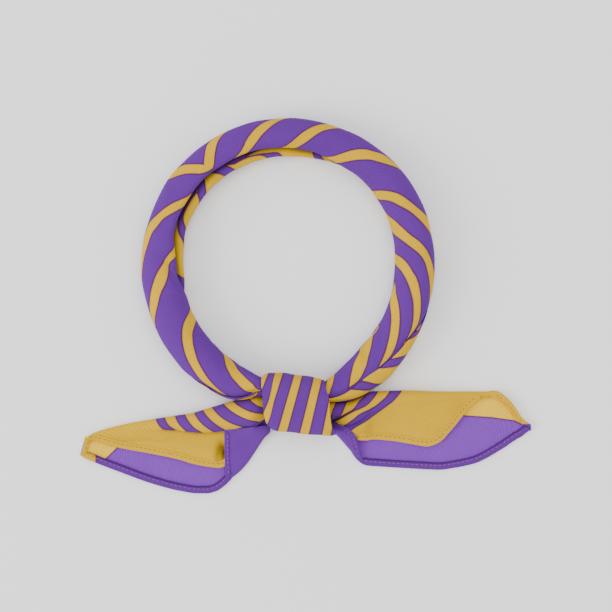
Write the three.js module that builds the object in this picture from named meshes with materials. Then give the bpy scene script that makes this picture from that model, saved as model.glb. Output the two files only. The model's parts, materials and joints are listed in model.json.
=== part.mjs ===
// A square neckerchief, rolled along its diagonal, closed in a ring and tied with one flat knot.
// It lies on a table as it does when it is put down: +Z is up, +Y points away from the knot, and the
// origin is under the middle of its outline, on the table. All sizes are in millimetres.
import * as THREE from "three";

// Sizes of the roll that goes round the neck.
const NECK_RADIUS = 57.6;
const ROLL_WIDTH = 20.6;
const ROLL_HEIGHT = 17.5;
const REST_FLAT = 0.06; // share of the roll's half height that the table presses flat
// The outer turn of the roll ends in a folded edge, which lies on the turn below it.
const LAP_WALL = 1.5;
const LAP_GAP = 0.5;
const LAP_TUCK = 26; // degrees of the section that the slot reaches under the folded edge
const LAP_EASE = 62; // degrees over which the turn below rises to the full size of the roll

// Sizes of the band that is wrapped round the knot.
const KNOT_WIDTH = 35.6;
const KNOT_DEPTH = 31.6;
const KNOT_HEIGHT = 23.5;
const KNOT_WALL = 1.3;
const KNOT_INSET = 1.2; // from the neck opening's radius to the band
const KNOT_SHIFT = 4.9; // the knot sits to the right of the ring's middle
const KNOT_SQUARE = 3; // power of the rounded outline of the band's section, where 2 is an ellipse
const ROLL_PART = 0.36; // share of the depth inside the band that the roll takes
const ROLL_SQUEEZE = 0.77; // the roll's height inside the band, as a share of the height there
const PINCH_RUN = 18; // length over which the roll is squeezed beside the band

// Sizes of the tails.
const LEFT_LENGTH = 97.5;
const RIGHT_LENGTH = 105.5;
const TAIL_DROP = 48; // from the knot's middle to the lowest point of the left tail
const TAIL_HEIGHT = 17;
const CLOTH = 1.1;
const LAYER_GAP = 0.4; // between two layers that lie on each other
const FRONT_RUN = 2.8; // least depth of the front ply below its crease
const HEM_WIDTH = 3;
const HEM_LIFT = 0.45; // between a hem and the ply it lies on
const FLAP_HEM = 2.4;
const FLAP_LIFT = 0.8; // between a flap and the ply it lies on
const FLAP_TURN = 2.2; // how far a flap's folded side comes down round the tail's edge

const CLEARANCE = 0.35;

// Fineness of the meshes.
const ROLL_STEPS = 84;
const SECTION_STEPS = 22;
const BAND_STEPS = 36;
const BAND_RUN = 8;
const TAIL_STEPS = 26;
const HEM_STEPS = 16;
const FLAP_STEPS = 7;

const MATERIALS = {
  purple: new THREE.MeshStandardMaterial({ color: 0x6f48b0, roughness: 0.72, metalness: 0 }),
  gold: new THREE.MeshStandardMaterial({ color: 0xd2aa52, roughness: 0.72, metalness: 0 }),
};

// The free roll, clockwise from the knot in degrees. Inset is how far its inner side lies outside the
// neck radius, and width its width, both as shares of the roll's width. Height is a share of its height.
const ROLL = [
  { at: 0, inset: 0.1, width: 0.95, height: 0.97 },
  { at: 30, inset: 0.07, width: 0.98, height: 0.98 },
  { at: 66, inset: -0.02, width: 1.02, height: 1 },
  { at: 90, inset: -0.09, width: 1.11, height: 0.98 },
  { at: 112, inset: 0, width: 0.99, height: 1 },
  { at: 145, inset: 0.01, width: 0.98, height: 1 },
  { at: 180, inset: 0, width: 1, height: 1 },
  { at: 198, inset: 0.04, width: 0.93, height: 1 },
  { at: 218, inset: 0.11, width: 0.88, height: 1 },
  { at: 245, inset: 0.05, width: 0.98, height: 1 },
  { at: 270, inset: -0.02, width: 1.03, height: 1 },
  { at: 300, inset: 0.02, width: 1.04, height: 1 },
  { at: 318, inset: 0.06, width: 1.08, height: 0.98 },
  { at: 330, inset: 0.12, width: 1.0, height: 0.97 },
  { at: 360, inset: 0.1, width: 0.95, height: 0.97 },
];

// Where the folded edge lies in the section, in degrees: 0 is the outer side, 90 the top and -180 the
// inner side. It comes up from under the roll on both sides of the knot and again at the top left.
const LAP = [
  { at: 0, edge: 50 },
  { at: 12, edge: 62 },
  { at: 22, edge: 27 },
  { at: 36, edge: 15 },
  { at: 52, edge: -70 },
  { at: 70, edge: -145 },
  { at: 80, edge: -184 },
  { at: 86, edge: -226 },
  { at: 105, edge: -238 },
  { at: 147, edge: -244 },
  { at: 182, edge: -231 },
  { at: 200, edge: -205 },
  { at: 214, edge: -180 },
  { at: 235, edge: -130 },
  { at: 262, edge: -70 },
  { at: 288, edge: 0 },
  { at: 302, edge: 50 },
  { at: 328, edge: 74 },
  { at: 342, edge: 45 },
  { at: 360, edge: 50 },
];

// The band round the knot, from its left rim to its right one. Top and bottom are its edges in the
// view from above and height its height, as shares of half its depth and of its height.
const BAND = [
  { at: 0, top: 0.95, bottom: -0.95, height: 0.93 },
  { at: 0.12, top: 1.0, bottom: -0.97, height: 0.97 },
  { at: 0.5, top: 0.98, bottom: -1.0, height: 1 },
  { at: 0.85, top: 0.93, bottom: -1.04, height: 0.98 },
  { at: 1, top: 0.88, bottom: -1.03, height: 0.93 },
];

// How far the band's rims lean along the knot, as shares of its width, from its top edge to its bottom.
const BAND_RIMS = [
  { at: 0, left: 0, right: -0.06 },
  { at: 0.3, left: -0.01, right: -0.01 },
  { at: 0.65, left: 0.01, right: 0 },
  { at: 0.88, left: 0.05, right: 0.02 },
  { at: 1, left: 0.1, right: 0.04 },
];

// A tail is one folded layer of cloth. From its root in the knot to its tip, at is the place of the
// fold at its top edge as a share of the tail's length, and lean how much further on the lower end of
// the section is. Top, pleat, front and back are the fold, the crease in the front ply and the free
// edges of the front and back plies, as shares of the drop below the knot's middle. Height is that of
// the fold and swell that of the front ply, as shares of the tail's height and of the fold's. Crease
// is the depth of the crease as a share of the fold's height, and root is 1 inside the band.
const LEFT_TAIL = [
  { at: -0.085, lean: 0, top: -0.03, pleat: 0.1, front: 0.15, back: 0.19, height: 0.78, swell: 0.5, crease: 0.1, root: 1 },
  { at: -0.03, lean: 0, top: -0.045, pleat: 0.13, front: 0.15, back: 0.17, height: 0.8, swell: 0.5, crease: 0.12, root: 1 },
  { at: 0.01, lean: -0.02, top: -0.085, pleat: 0.16, front: 0.18, back: 0.21, height: 0.92, swell: 0.5, crease: 0.16, root: 1 },
  { at: 0.08, lean: -0.055, top: -0.07, pleat: 0.21, front: 0.3, back: 0.41, height: 1, swell: 0.4, crease: 0.2, root: 0.3 },
  { at: 0.155, lean: -0.08, top: -0.035, pleat: 0.25, front: 0.42, back: 0.57, height: 0.92, swell: 0.4, crease: 0.2, root: 0 },
  { at: 0.23, lean: -0.09, top: 0.01, pleat: 0.285, front: 0.6, back: 0.74, height: 0.82, swell: 0.4, crease: 0.2, root: 0 },
  { at: 0.31, lean: -0.085, top: 0.06, pleat: 0.31, front: 0.71, back: 0.91, height: 0.72, swell: 0.4, crease: 0.2, root: 0 },
  { at: 0.39, lean: -0.075, top: 0.11, pleat: 0.312, front: 0.69, back: 1.0, height: 0.62, swell: 0.42, crease: 0.2, root: 0 },
  { at: 0.5, lean: -0.04, top: 0.145, pleat: 0.29, front: 0.635, back: 0.965, height: 0.5, swell: 0.5, crease: 0.16, root: 0 },
  { at: 0.62, lean: 0, top: 0.185, pleat: 0.3, front: 0.575, back: 0.875, height: 0.4, swell: 0.6, crease: 0.05, root: 0 },
  { at: 0.755, lean: 0.03, top: 0.235, pleat: 0.36, front: 0.52, back: 0.76, height: 0.31, swell: 0.6, crease: 0, root: 0 },
  { at: 0.875, lean: 0.045, top: 0.295, pleat: 0.38, front: 0.455, back: 0.645, height: 0.24, swell: 0.5, crease: 0, root: 0 },
  { at: 0.94, lean: 0.045, top: 0.34, pleat: 0.38, front: 0.42, back: 0.6, height: 0.2, swell: 0.4, crease: 0, root: 0 },
  { at: 0.978, lean: 0.022, top: 0.378, pleat: 0.4, front: 0.42, back: 0.575, height: 0.19, swell: 0.4, crease: 0, root: 0 },
];
const RIGHT_TAIL = [
  { at: -0.075, lean: 0, top: -0.02, pleat: 0.1, front: 0.15, back: 0.18, height: 0.78, swell: 0.5, crease: 0.1, root: 1 },
  { at: -0.02, lean: 0, top: -0.02, pleat: 0.13, front: 0.16, back: 0.19, height: 0.82, swell: 0.5, crease: 0.12, root: 1 },
  { at: 0.015, lean: 0, top: -0.025, pleat: 0.15, front: 0.18, back: 0.2, height: 0.88, swell: 0.5, crease: 0.2, root: 1 },
  { at: 0.045, lean: 0.01, top: -0.045, pleat: 0.12, front: 0.27, back: 0.34, height: 0.9, swell: 0.54, crease: 0.2, root: 0.6 },
  { at: 0.07, lean: 0.02, top: -0.075, pleat: 0.09, front: 0.33, back: 0.45, height: 0.9, swell: 0.6, crease: 0.2, root: 0.2 },
  { at: 0.13, lean: 0.02, top: -0.11, pleat: 0.045, front: 0.42, back: 0.62, height: 0.84, swell: 0.68, crease: 0.15, root: 0 },
  { at: 0.2, lean: 0.02, top: -0.13, pleat: 0.03, front: 0.41, back: 0.7, height: 0.76, swell: 0.72, crease: 0.06, root: 0 },
  { at: 0.3, lean: 0.02, top: -0.14, pleat: 0.03, front: 0.425, back: 0.71, height: 0.66, swell: 0.74, crease: 0, root: 0 },
  { at: 0.4, lean: 0.02, top: -0.142, pleat: 0.03, front: 0.455, back: 0.715, height: 0.56, swell: 0.72, crease: 0, root: 0 },
  { at: 0.48, lean: 0.02, top: -0.135, pleat: 0.03, front: 0.48, back: 0.725, height: 0.48, swell: 0.68, crease: 0, root: 0 },
  { at: 0.53, lean: 0.02, top: -0.13, pleat: 0.01, front: 0.45, back: 0.725, height: 0.43, swell: 0.62, crease: 0, root: 0 },
  { at: 0.6, lean: 0.015, top: -0.127, pleat: -0.02, front: 0.315, back: 0.71, height: 0.37, swell: 0.58, crease: 0, root: 0 },
  { at: 0.67, lean: 0.01, top: -0.127, pleat: -0.05, front: 0.14, back: 0.68, height: 0.3, swell: 0.5, crease: 0, root: 0 },
  { at: 0.73, lean: 0.005, top: -0.127, pleat: -0.07, front: 0.0, back: 0.64, height: 0.25, swell: 0.4, crease: 0, root: 0 },
  { at: 0.78, lean: 0, top: -0.125, pleat: -0.09, front: -0.06, back: 0.585, height: 0.2, swell: 0.4, crease: 0, root: 0 },
  { at: 0.84, lean: 0, top: -0.13, pleat: -0.1, front: -0.08, back: 0.51, height: 0.19, swell: 0.4, crease: 0, root: 0 },
  { at: 0.885, lean: 0, top: -0.06, pleat: -0.03, front: -0.01, back: 0.455, height: 0.19, swell: 0.4, crease: 0, root: 0 },
  { at: 0.93, lean: 0, top: 0.07, pleat: 0.1, front: 0.12, back: 0.395, height: 0.19, swell: 0.4, crease: 0, root: 0 },
  { at: 0.965, lean: 0.005, top: 0.17, pleat: 0.22, front: 0.24, back: 0.34, height: 0.19, swell: 0.4, crease: 0, root: 0 },
  { at: 0.995, lean: 0.005, top: 0.225, pleat: 0.26, front: 0.28, back: 0.31, height: 0.19, swell: 0.4, crease: 0, root: 0 },
];

// The two flaps, the ends of the cloth's edge that are turned up beside the knot, from their upper end
// to their lower one: along and down of the free hemmed side and of the folded side, as for the tails.
// Turn is 1 where the folded side comes down round the tail's edge.
const LEFT_FLAP = [
  { at: 0, freeAlong: 0.212, freeDown: 0.395, foldAlong: 0.02, foldDown: 0.285, turn: 0 },
  { at: 0.14, freeAlong: 0.212, freeDown: 0.43, foldAlong: 0.012, foldDown: 0.32, turn: 0 },
  { at: 0.28, freeAlong: 0.212, freeDown: 0.48, foldAlong: -0.005, foldDown: 0.385, turn: 1 },
  { at: 0.5, freeAlong: 0.212, freeDown: 0.6, foldAlong: 0.045, foldDown: 0.52, turn: 1 },
  { at: 0.75, freeAlong: 0.21, freeDown: 0.745, foldAlong: 0.122, foldDown: 0.753, turn: 1 },
  { at: 1, freeAlong: 0.209, freeDown: 0.87, foldAlong: 0.168, foldDown: 0.83, turn: 1 },
];
const RIGHT_FLAP = [
  { at: 0, freeAlong: 0.035, freeDown: 0.25, foldAlong: 0.024, foldDown: 0.31, turn: 0 },
  { at: 0.28, freeAlong: 0.095, freeDown: 0.31, foldAlong: 0.03, foldDown: 0.375, turn: 1 },
  { at: 0.6, freeAlong: 0.128, freeDown: 0.44, foldAlong: 0.055, foldDown: 0.435, turn: 1 },
  { at: 1, freeAlong: 0.151, freeDown: 0.62, foldAlong: 0.115, foldDown: 0.6, turn: 1 },
];

// The hems: ply is the one that they lie on, edge the place in the section that they follow, from and
// to their run as shares of the tail's length, and side is -1 where they reach down from that line.
const HEMS = [
  { name: "left_front_hem", tail: "left", ply: "front", edge: "front", from: 0.295, to: 0.86, side: 1 },
  { name: "left_back_hem", tail: "left", ply: "back", edge: "back", from: 0.3, to: 0.9, side: 1 },
  { name: "right_front_hem", tail: "right", ply: "front", edge: "front", from: 0.19, to: 0.71, side: 1 },
  { name: "right_back_hem", tail: "right", ply: "back", edge: "back", from: 0.17, to: 0.91, side: 1 },
  { name: "right_tip_hem", tail: "right", ply: "back", edge: "tip", from: 0.83, to: 0.93, side: -1 },
];

const RADIAN = Math.PI / 180;
const mix = (a, b, t) => a + (b - a) * t;
const clamp = (x, low, high) => Math.min(Math.max(x, low), high);
const ease = (x) => clamp(x, 0, 1) ** 2 * (3 - 2 * clamp(x, 0, 1));
const power = (x, n) => Math.sign(x) * Math.abs(x) ** (2 / n);

// A smooth value between the rows of a table, which doesn't overshoot them.
function read(table, name, at) {
  const last = table.length - 1;
  const x = clamp(at, table[0].at, table[last].at);
  let i = 0;
  while (i < last - 1 && x > table[i + 1].at) i++;
  const slope = (k) => (table[k + 1][name] - table[k][name]) / (table[k + 1].at - table[k].at);
  const bend = (k) => {
    if (k === 0 || k === last) return 0;
    const [before, after] = [slope(k - 1), slope(k)];
    return before * after <= 0 ? 0 : (2 * before * after) / (before + after);
  };
  const run = table[i + 1].at - table[i].at;
  const t = (x - table[i].at) / run;
  const [low, high] = [table[i][name], table[i + 1][name]];
  const [start, end] = [bend(i) * run, bend(i + 1) * run];
  const cubic = 2 * (low - high) + start + end;
  return ((cubic * t + 3 * (high - low) - 2 * start - end) * t + start) * t + low;
}

// Triangles of a grid of points, closed both ways.
function closedGrid(rows) {
  const faces = [];
  const [n, m] = [rows.length, rows[0].length];
  for (let i = 0; i < n; i++) {
    for (let j = 0; j < m; j++) {
      const a = i * m + j;
      const b = ((i + 1) % n) * m + j;
      const c = ((i + 1) % n) * m + ((j + 1) % m);
      const d = i * m + ((j + 1) % m);
      faces.push([a, b, c], [a, c, d]);
    }
  }
  return solid(rows.flat(), faces);
}

// A solid from points and triangles, turned so that its faces look outwards.
function solid(points, faces) {
  let volume = 0;
  const [a, b, c] = [new THREE.Vector3(), new THREE.Vector3(), new THREE.Vector3()];
  for (const face of faces) {
    a.fromArray(points[face[0]]);
    b.fromArray(points[face[1]]);
    c.fromArray(points[face[2]]);
    volume += a.dot(b.cross(c));
  }
  const turned = volume < 0 ? faces.map(([i, j, k]) => [i, k, j]) : faces;
  const geometry = new THREE.BufferGeometry();
  geometry.setAttribute("position", new THREE.Float32BufferAttribute(points.flat(), 3));
  geometry.setIndex(turned.flat());
  return geometry;
}

// A layer of cloth with its middle on a grid of points, or at a distance above it.
function layer(rows, thickness, lift = 0) {
  const [n, m] = [rows.length, rows[0].length];
  const at = (i, j) => new THREE.Vector3().fromArray(rows[clamp(i, 0, n - 1)][clamp(j, 0, m - 1)]);
  const upper = [];
  const lower = [];
  for (let i = 0; i < n; i++) {
    for (let j = 0; j < m; j++) {
      const normal = at(i + 1, j).sub(at(i - 1, j)).cross(at(i, j + 1).sub(at(i, j - 1))).normalize();
      if (lift) normal.multiplyScalar(Math.sign(normal.z));
      upper.push(at(i, j).addScaledVector(normal, lift + thickness / 2).toArray());
      lower.push(at(i, j).addScaledVector(normal, lift - thickness / 2).toArray());
    }
  }
  const faces = [];
  const below = n * m;
  const quad = (a, b, c, d) => faces.push([a, b, c], [a, c, d]);
  for (let i = 0; i < n - 1; i++) {
    for (let j = 0; j < m - 1; j++) {
      const [a, b, c, d] = [i * m + j, (i + 1) * m + j, (i + 1) * m + j + 1, i * m + j + 1];
      quad(a, b, c, d);
      quad(below + d, below + c, below + b, below + a);
    }
  }
  const rim = [];
  for (let j = 0; j < m - 1; j++) rim.push(j);
  for (let i = 0; i < n - 1; i++) rim.push(i * m + m - 1);
  for (let j = m - 1; j > 0; j--) rim.push((n - 1) * m + j);
  for (let i = n - 1; i > 0; i--) rim.push(i * m);
  rim.forEach((a, k) => {
    const b = rim[(k + 1) % rim.length];
    quad(a, b, below + b, below + a);
  });
  return solid([...upper, ...lower], faces);
}

// The knot, seen from the middle of the ring.
const KNOT_X = KNOT_SHIFT;
const KNOT_Y = -(NECK_RADIUS + KNOT_INSET + KNOT_DEPTH / 2);
const KNOT_HALF = KNOT_HEIGHT / (2 - REST_FLAT);
const KNOT_Z = KNOT_HALF * (1 - REST_FLAT);
const HOLLOW_DEPTH = 0.93 * KNOT_DEPTH - 2 * (KNOT_WALL + CLEARANCE);
const HOLLOW_HEIGHT = 2 * (0.93 * KNOT_HALF - KNOT_WALL - CLEARANCE);
const PASS_WIDTH = ROLL_PART * HOLLOW_DEPTH;
const passY = (x) => {
  const side = (KNOT_DEPTH / 2) * read(BAND, "top", (x - KNOT_X) / KNOT_WIDTH + 0.5);
  return KNOT_Y + side - KNOT_WALL - 2 * CLEARANCE - PASS_WIDTH / 2;
};
const PASS_HEIGHT = ROLL_SQUEEZE * HOLLOW_HEIGHT;

// The roll's middle line, its direction outwards and the size of its section at a place in the ring.
function rollSection(angle) {
  const turn = angle * RADIAN;
  const out = [-Math.sin(turn), -Math.cos(turn)];
  const width = ROLL_WIDTH * read(ROLL, "width", angle);
  const radius = NECK_RADIUS + ROLL_WIDTH * read(ROLL, "inset", angle) + width / 2;
  const x = out[0] * radius;
  const beside = Math.abs(x - KNOT_X) - KNOT_WIDTH * 0.53;
  const held = out[1] > 0 ? 0 : ease(1 - beside / PINCH_RUN);
  const y = mix(out[1] * radius, passY(x), held);
  const away = [mix(out[0], 0, held), mix(out[1], -1, held)];
  const long = Math.hypot(away[0], away[1]);
  const halfHeight = mix((ROLL_HEIGHT * read(ROLL, "height", angle)) / (2 - REST_FLAT), PASS_HEIGHT / 2, held);
  return {
    x,
    y,
    z: mix(halfHeight * (1 - REST_FLAT), KNOT_Z, held),
    away: [away[0] / long, away[1] / long],
    halfWidth: mix(width, PASS_WIDTH, held) / 2,
    halfHeight,
    square: mix(2.15, 2.8, held),
  };
}

function rollPoint(section, degrees, depth) {
  const side = power(Math.cos(degrees * RADIAN), section.square) * (section.halfWidth - depth);
  const rise = power(Math.sin(degrees * RADIAN), section.square) * (section.halfHeight - depth);
  return [section.x + section.away[0] * side, section.y + section.away[1] * side, Math.max(section.z + rise, 0)];
}

function neckRoll() {
  const rows = [];
  for (let i = 0; i < ROLL_STEPS; i++) {
    const angle = (i * 360) / ROLL_STEPS;
    const section = rollSection(angle);
    const edge = read(LAP, "edge", angle);
    const row = [];
    for (let j = 0; j <= SECTION_STEPS; j++) {
      const past = mix(0, 360, j / SECTION_STEPS);
      const under = (LAP_WALL + LAP_GAP) * ease(1 - past / LAP_EASE);
      row.push(rollPoint(section, edge + past, under));
    }
    row.push(rollPoint(section, edge + 1.5, LAP_WALL / 2));
    row.push(rollPoint(section, edge, LAP_WALL));
    row.push(rollPoint(section, edge - LAP_TUCK, LAP_WALL + LAP_GAP / 2));
    rows.push(row);
  }
  return closedGrid(rows);
}

function knotBand() {
  const rows = [];
  for (let j = 0; j < BAND_STEPS; j++) {
    const turn = (j * 2 * Math.PI) / BAND_STEPS;
    const across = power(Math.cos(turn), KNOT_SQUARE);
    const up = power(Math.sin(turn), KNOT_SQUARE);
    const place = (1 - across) / 2;
    const left = KNOT_X + KNOT_WIDTH * (read(BAND_RIMS, "left", place) - 0.5);
    const right = KNOT_X + KNOT_WIDTH * (read(BAND_RIMS, "right", place) + 0.5);
    const point = (at, wall) => {
      const top = (KNOT_DEPTH / 2) * read(BAND, "top", at) - wall;
      const bottom = (KNOT_DEPTH / 2) * read(BAND, "bottom", at) + wall;
      const half = KNOT_HALF * read(BAND, "height", at) - wall;
      return [
        mix(left, right, at),
        KNOT_Y + (top + bottom) / 2 + (across * (top - bottom)) / 2,
        Math.max(KNOT_Z + up * half, wall),
      ];
    };
    const row = [];
    for (let i = 0; i <= BAND_RUN; i++) row.push(point(ease(i / BAND_RUN), 0));
    for (let i = BAND_RUN; i >= 0; i--) row.push(point(ease(i / BAND_RUN), KNOT_WALL));
    rows.push(row);
  }
  return closedGrid(rows);
}

// The two tails. Along is measured from the band's rim, down from the knot's middle.
const TAILS = {
  left: { table: LEFT_TAIL, start: KNOT_X - KNOT_WIDTH / 2 - 0.3, length: -LEFT_LENGTH },
  right: { table: RIGHT_TAIL, start: KNOT_X + KNOT_WIDTH / 2, length: RIGHT_LENGTH },
};

// The outer side of the roll below the ring's middle, straight down at a place across.
function rollOuter(x) {
  let angle = (Math.asin(clamp(-x / (NECK_RADIUS + ROLL_WIDTH), -0.95, 0.95)) / RADIAN + 360) % 360;
  for (let k = 0; k < 12; k++) {
    const section = rollSection(angle);
    const outer = section.x + section.away[0] * section.halfWidth;
    angle = (angle + ((outer - x) / (NECK_RADIUS + ROLL_WIDTH) / RADIAN) * 0.9 + 360) % 360;
  }
  const section = rollSection(angle);
  return section.y + section.away[1] * section.halfWidth;
}

// The middle of the cloth in one section of a tail, from the back ply's free edge over the fold to the
// front ply's free edge, as places down and up.
function tailSection(tail, along) {
  const get = (name) => read(tail.table, name, along);
  const base = CLOTH / 2 + get("root") * (KNOT_WALL + 4.4 * CLEARANCE);
  const top = Math.max(base + CLOTH + LAYER_GAP, TAIL_HEIGHT * get("height") - CLOTH / 2);
  const rest = base + CLOTH + LAYER_GAP;
  const rise = Math.max(top - rest, 0);
  const x = tail.start + tail.length * along;
  const free = Math.abs(x) < 0.8 * NECK_RADIUS ? KNOT_Y - rollOuter(x) + CLOTH / 2 + 1.3 * CLEARANCE : -TAIL_DROP;
  const fold = Math.max(TAIL_DROP * get("top") + CLOTH / 2, free);
  const bend = (top - base) / 2;
  const back = Math.max(TAIL_DROP * get("back") - CLOTH / 2, fold + bend + 2);
  const pleat = Math.max(TAIL_DROP * get("pleat"), fold + 1.7 * bend);
  const front = Math.max(TAIL_DROP * get("front") - CLOTH / 2, pleat + FRONT_RUN);
  const swell = rest + rise * get("swell");
  const crease = Math.max(swell - top * get("crease"), rest + 0.1 * rise);
  const knee = Math.min(fold + bend, mix(fold, back, 0.6));
  return {
    x,
    lean: (tail.length * get("lean")) / Math.max(back - fold, 1),
    fold,
    points: [
      [back, base],
      [mix(back, knee, 0.5), base],
      [knee, base],
      [fold + 0.3 * bend, base + 0.28 * bend],
      [fold, base + bend],
      [fold + 0.3 * bend, top - 0.28 * bend],
      [mix(fold + bend, pleat, 0.2), top],
      [mix(fold + bend, pleat, 0.65), mix(crease, top, 0.8)],
      [pleat, crease],
      [mix(pleat, front, 0.3), mix(rest, swell, 0.92)],
      [mix(pleat, front, 0.68), mix(rest, swell, 0.5)],
      [front, rest],
    ],
  };
}

// A smooth line through the points of a section, whose short spans stay as calm as its long ones.
function along(points, t) {
  const last = points.length - 1;
  const i = clamp(Math.floor(t), 0, last - 1);
  const f = t - i;
  const [b, c] = [points[i], points[i + 1]];
  const [a, d] = [points[i - 1], points[i + 2]];
  const apart = (p, q) => Math.hypot(q[0] - p[0], q[1] - p[1]);
  const here = apart(b, c);
  const bend = (p, q, beside) => (k) => {
    const slope = (c[k] - b[k]) / here;
    return (here * (slope * beside + ((q[k] - p[k]) / beside) * here)) / (beside + here);
  };
  const straight = (k) => c[k] - b[k];
  const starting = a ? bend(a, b, apart(a, b)) : straight;
  const ending = d ? bend(c, d, apart(c, d)) : straight;
  return [0, 1].map((k) => {
    const [start, end] = [starting(k), ending(k)];
    const cubic = 2 * (b[k] - c[k]) + start + end;
    return ((cubic * f + 3 * (c[k] - b[k]) - 2 * start - end) * f + start) * f + b[k];
  });
}

const PLY = [0, 0.5, 1, 2, 2.5, 3, 3.5, 4, 4.5, 5, 5.5, 6, 6.6, 7.2, 7.7, 8, 8.4, 9, 9.6, 10.3, 11];

function tailCloth(side) {
  const tail = TAILS[side];
  const [first, last] = [tail.table[0].at, tail.table[tail.table.length - 1].at];
  const rows = [];
  for (let i = 0; i <= TAIL_STEPS; i++) {
    const section = tailSection(tail, mix(first, last, i / TAIL_STEPS));
    rows.push(
      PLY.map((t) => {
        const [down, up] = along(section.points, t);
        return [section.x + section.lean * (down - section.fold), KNOT_Y - down, up];
      }),
    );
  }
  return layer(rows, CLOTH);
}

// The height of a ply's middle at a place in the view from above, and the section it is in.
function heightOn(side, ply, x, down) {
  const tail = TAILS[side];
  let place = (x - tail.start) / tail.length;
  let section = tailSection(tail, place);
  for (let k = 0; k < 8; k++) {
    place = (x - section.lean * (down - section.fold) - tail.start) / tail.length;
    section = tailSection(tail, place);
  }
  if (ply === "back") return section.points[0][1];
  const { points } = section;
  const past = down - points[11][0];
  if (past >= 0) return Math.max(points[11][1] - 0.45 * past, points[0][1] + CLOTH + LAYER_GAP);
  let [low, high] = [8, 11];
  for (let k = 0; k < 20; k++) {
    const middle = (low + high) / 2;
    if (along(points, middle)[0] < down) low = middle;
    else high = middle;
  }
  return along(points, low)[1];
}

// A strip of cloth beside a line in the view from above, lying on a ply.
function strip(side, ply, line, width) {
  const rows = line.map((end, i) => {
    const [before, after] = [line[Math.max(i - 1, 0)], line[Math.min(i + 1, line.length - 1)]];
    const run = [after[0] - before[0], after[1] - before[1]];
    const long = Math.hypot(run[0], run[1]) * Math.sign(TAILS[side].length);
    return [0, 0.5, 1].map((t) => {
      const [x, down] = [end[0] + (run[1] / long) * width * t, end[1] - (run[0] / long) * width * t];
      return [x, KNOT_Y - down, heightOn(side, ply, x, down)];
    });
  });
  return layer(rows, CLOTH, CLOTH + HEM_LIFT);
}

// A hem along one of the lines of a tail.
function hem(row) {
  const tail = TAILS[row.tail];
  const line = [];
  for (let i = 0; i <= HEM_STEPS; i++) {
    const section = tailSection(tail, mix(row.from, row.to, i / HEM_STEPS));
    const edge = section.points[row.edge === "back" ? 0 : 11][0];
    const down = row.edge === "tip" ? edge + 1.4 * CLOTH : edge;
    line.push([section.x + section.lean * (down - section.fold), down]);
  }
  return strip(row.tail, row.ply, line, HEM_WIDTH * row.side);
}

// The hem across the end of the left tail.
function tipHem() {
  const tail = TAILS.left;
  const last = LEFT_TAIL[LEFT_TAIL.length - 1].at;
  const rows = [0, 0.5, 1].map((t) => {
    const section = tailSection(tail, last - ((1 - t) * HEM_WIDTH) / LEFT_LENGTH);
    const [high, low] = [section.points[11][0] + CLOTH, section.points[0][0]];
    return [0, 0.25, 0.5, 0.75, 1].map((u) => {
      const down = mix(high, low, u);
      return [section.x + section.lean * (down - section.fold), KNOT_Y - down, section.points[0][1]];
    });
  });
  return layer(rows, CLOTH, CLOTH + HEM_LIFT);
}

// The middle of a flap, a place across it counted in millimetres from its free side. It lies on the
// front ply, and its folded side comes down round the tail's edge.
function flapRow(side, table, at, places) {
  const tail = TAILS[side];
  const get = (name) => read(table, name, at);
  const free = [tail.start + tail.length * get("freeAlong"), TAIL_DROP * get("freeDown")];
  const fold = [tail.start + tail.length * get("foldAlong"), TAIL_DROP * get("foldDown")];
  const wide = Math.hypot(fold[0] - free[0], fold[1] - free[1]);
  return places(wide).map(([across, fall]) => {
    const [x, down] = [mix(free[0], fold[0], across / wide), mix(free[1], fold[1], across / wide)];
    const near = [[0, 0], [1.5, 0], [-1.5, 0], [0, 1.5], [0, -1.5]];
    const under = Math.max(...near.map(([a, b]) => heightOn(side, "front", x + a, down + b)));
    const up = under + CLOTH + FLAP_LIFT;
    return [x, KNOT_Y - down, mix(up, CLOTH / 2, fall * get("turn"))];
  });
}

function flapRows(side, table) {
  const rows = [];
  const places = (wide) => {
    const [hem, turn] = [Math.min(FLAP_HEM, 0.36 * wide), Math.min(FLAP_TURN, 0.4 * wide)];
    const top = [0, 0.3, 0.65, 1].map((t) => [mix(hem, wide - turn, t), 0]);
    const down = [[0.55, 0.12], [0.32, 0.45], [0.25, 1]].map(([t, fall]) => [wide - turn * t, fall]);
    return [[0, 0], [hem / 2, 0], ...top, ...down];
  };
  for (let i = 0; i <= FLAP_STEPS; i++) rows.push(flapRow(side, table, i / FLAP_STEPS, places));
  return rows;
}

const group = new THREE.Group();
group.name = "neckerchief";

function add(name, geometry, material) {
  const mesh = new THREE.Mesh(geometry, MATERIALS[material]);
  mesh.name = name;
  group.add(mesh);
}

add("neck_roll", neckRoll(), "purple");
add("knot_band", knotBand(), "purple");
add("left_tail", tailCloth("left"), "gold");
add("right_tail", tailCloth("right"), "gold");
for (const row of HEMS) add(row.name, hem(row), "purple");
add("left_tip_hem", tipHem(), "gold");
for (const [side, table] of [["left", LEFT_FLAP], ["right", RIGHT_FLAP]]) {
  const rows = flapRows(side, table);
  add(side + "_flap", layer(rows, CLOTH), "purple");
  add(side + "_flap_hem", layer(rows.slice(3).map((row) => row.slice(0, 3)), CLOTH, CLOTH + 1.5 * HEM_LIFT), "purple");
}

// The origin goes under the middle of the outline, on the table.
const bounds = new THREE.Box3().setFromObject(group);
for (const mesh of group.children) {
  mesh.geometry.translate(-(bounds.min.x + bounds.max.x) / 2, -(bounds.min.y + bounds.max.y) / 2, -bounds.min.z);
}

export default group;
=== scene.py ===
import json
import math

import bpy
import numpy as np
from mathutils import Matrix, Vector
from mathutils.bvhtree import BVHTree

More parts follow.
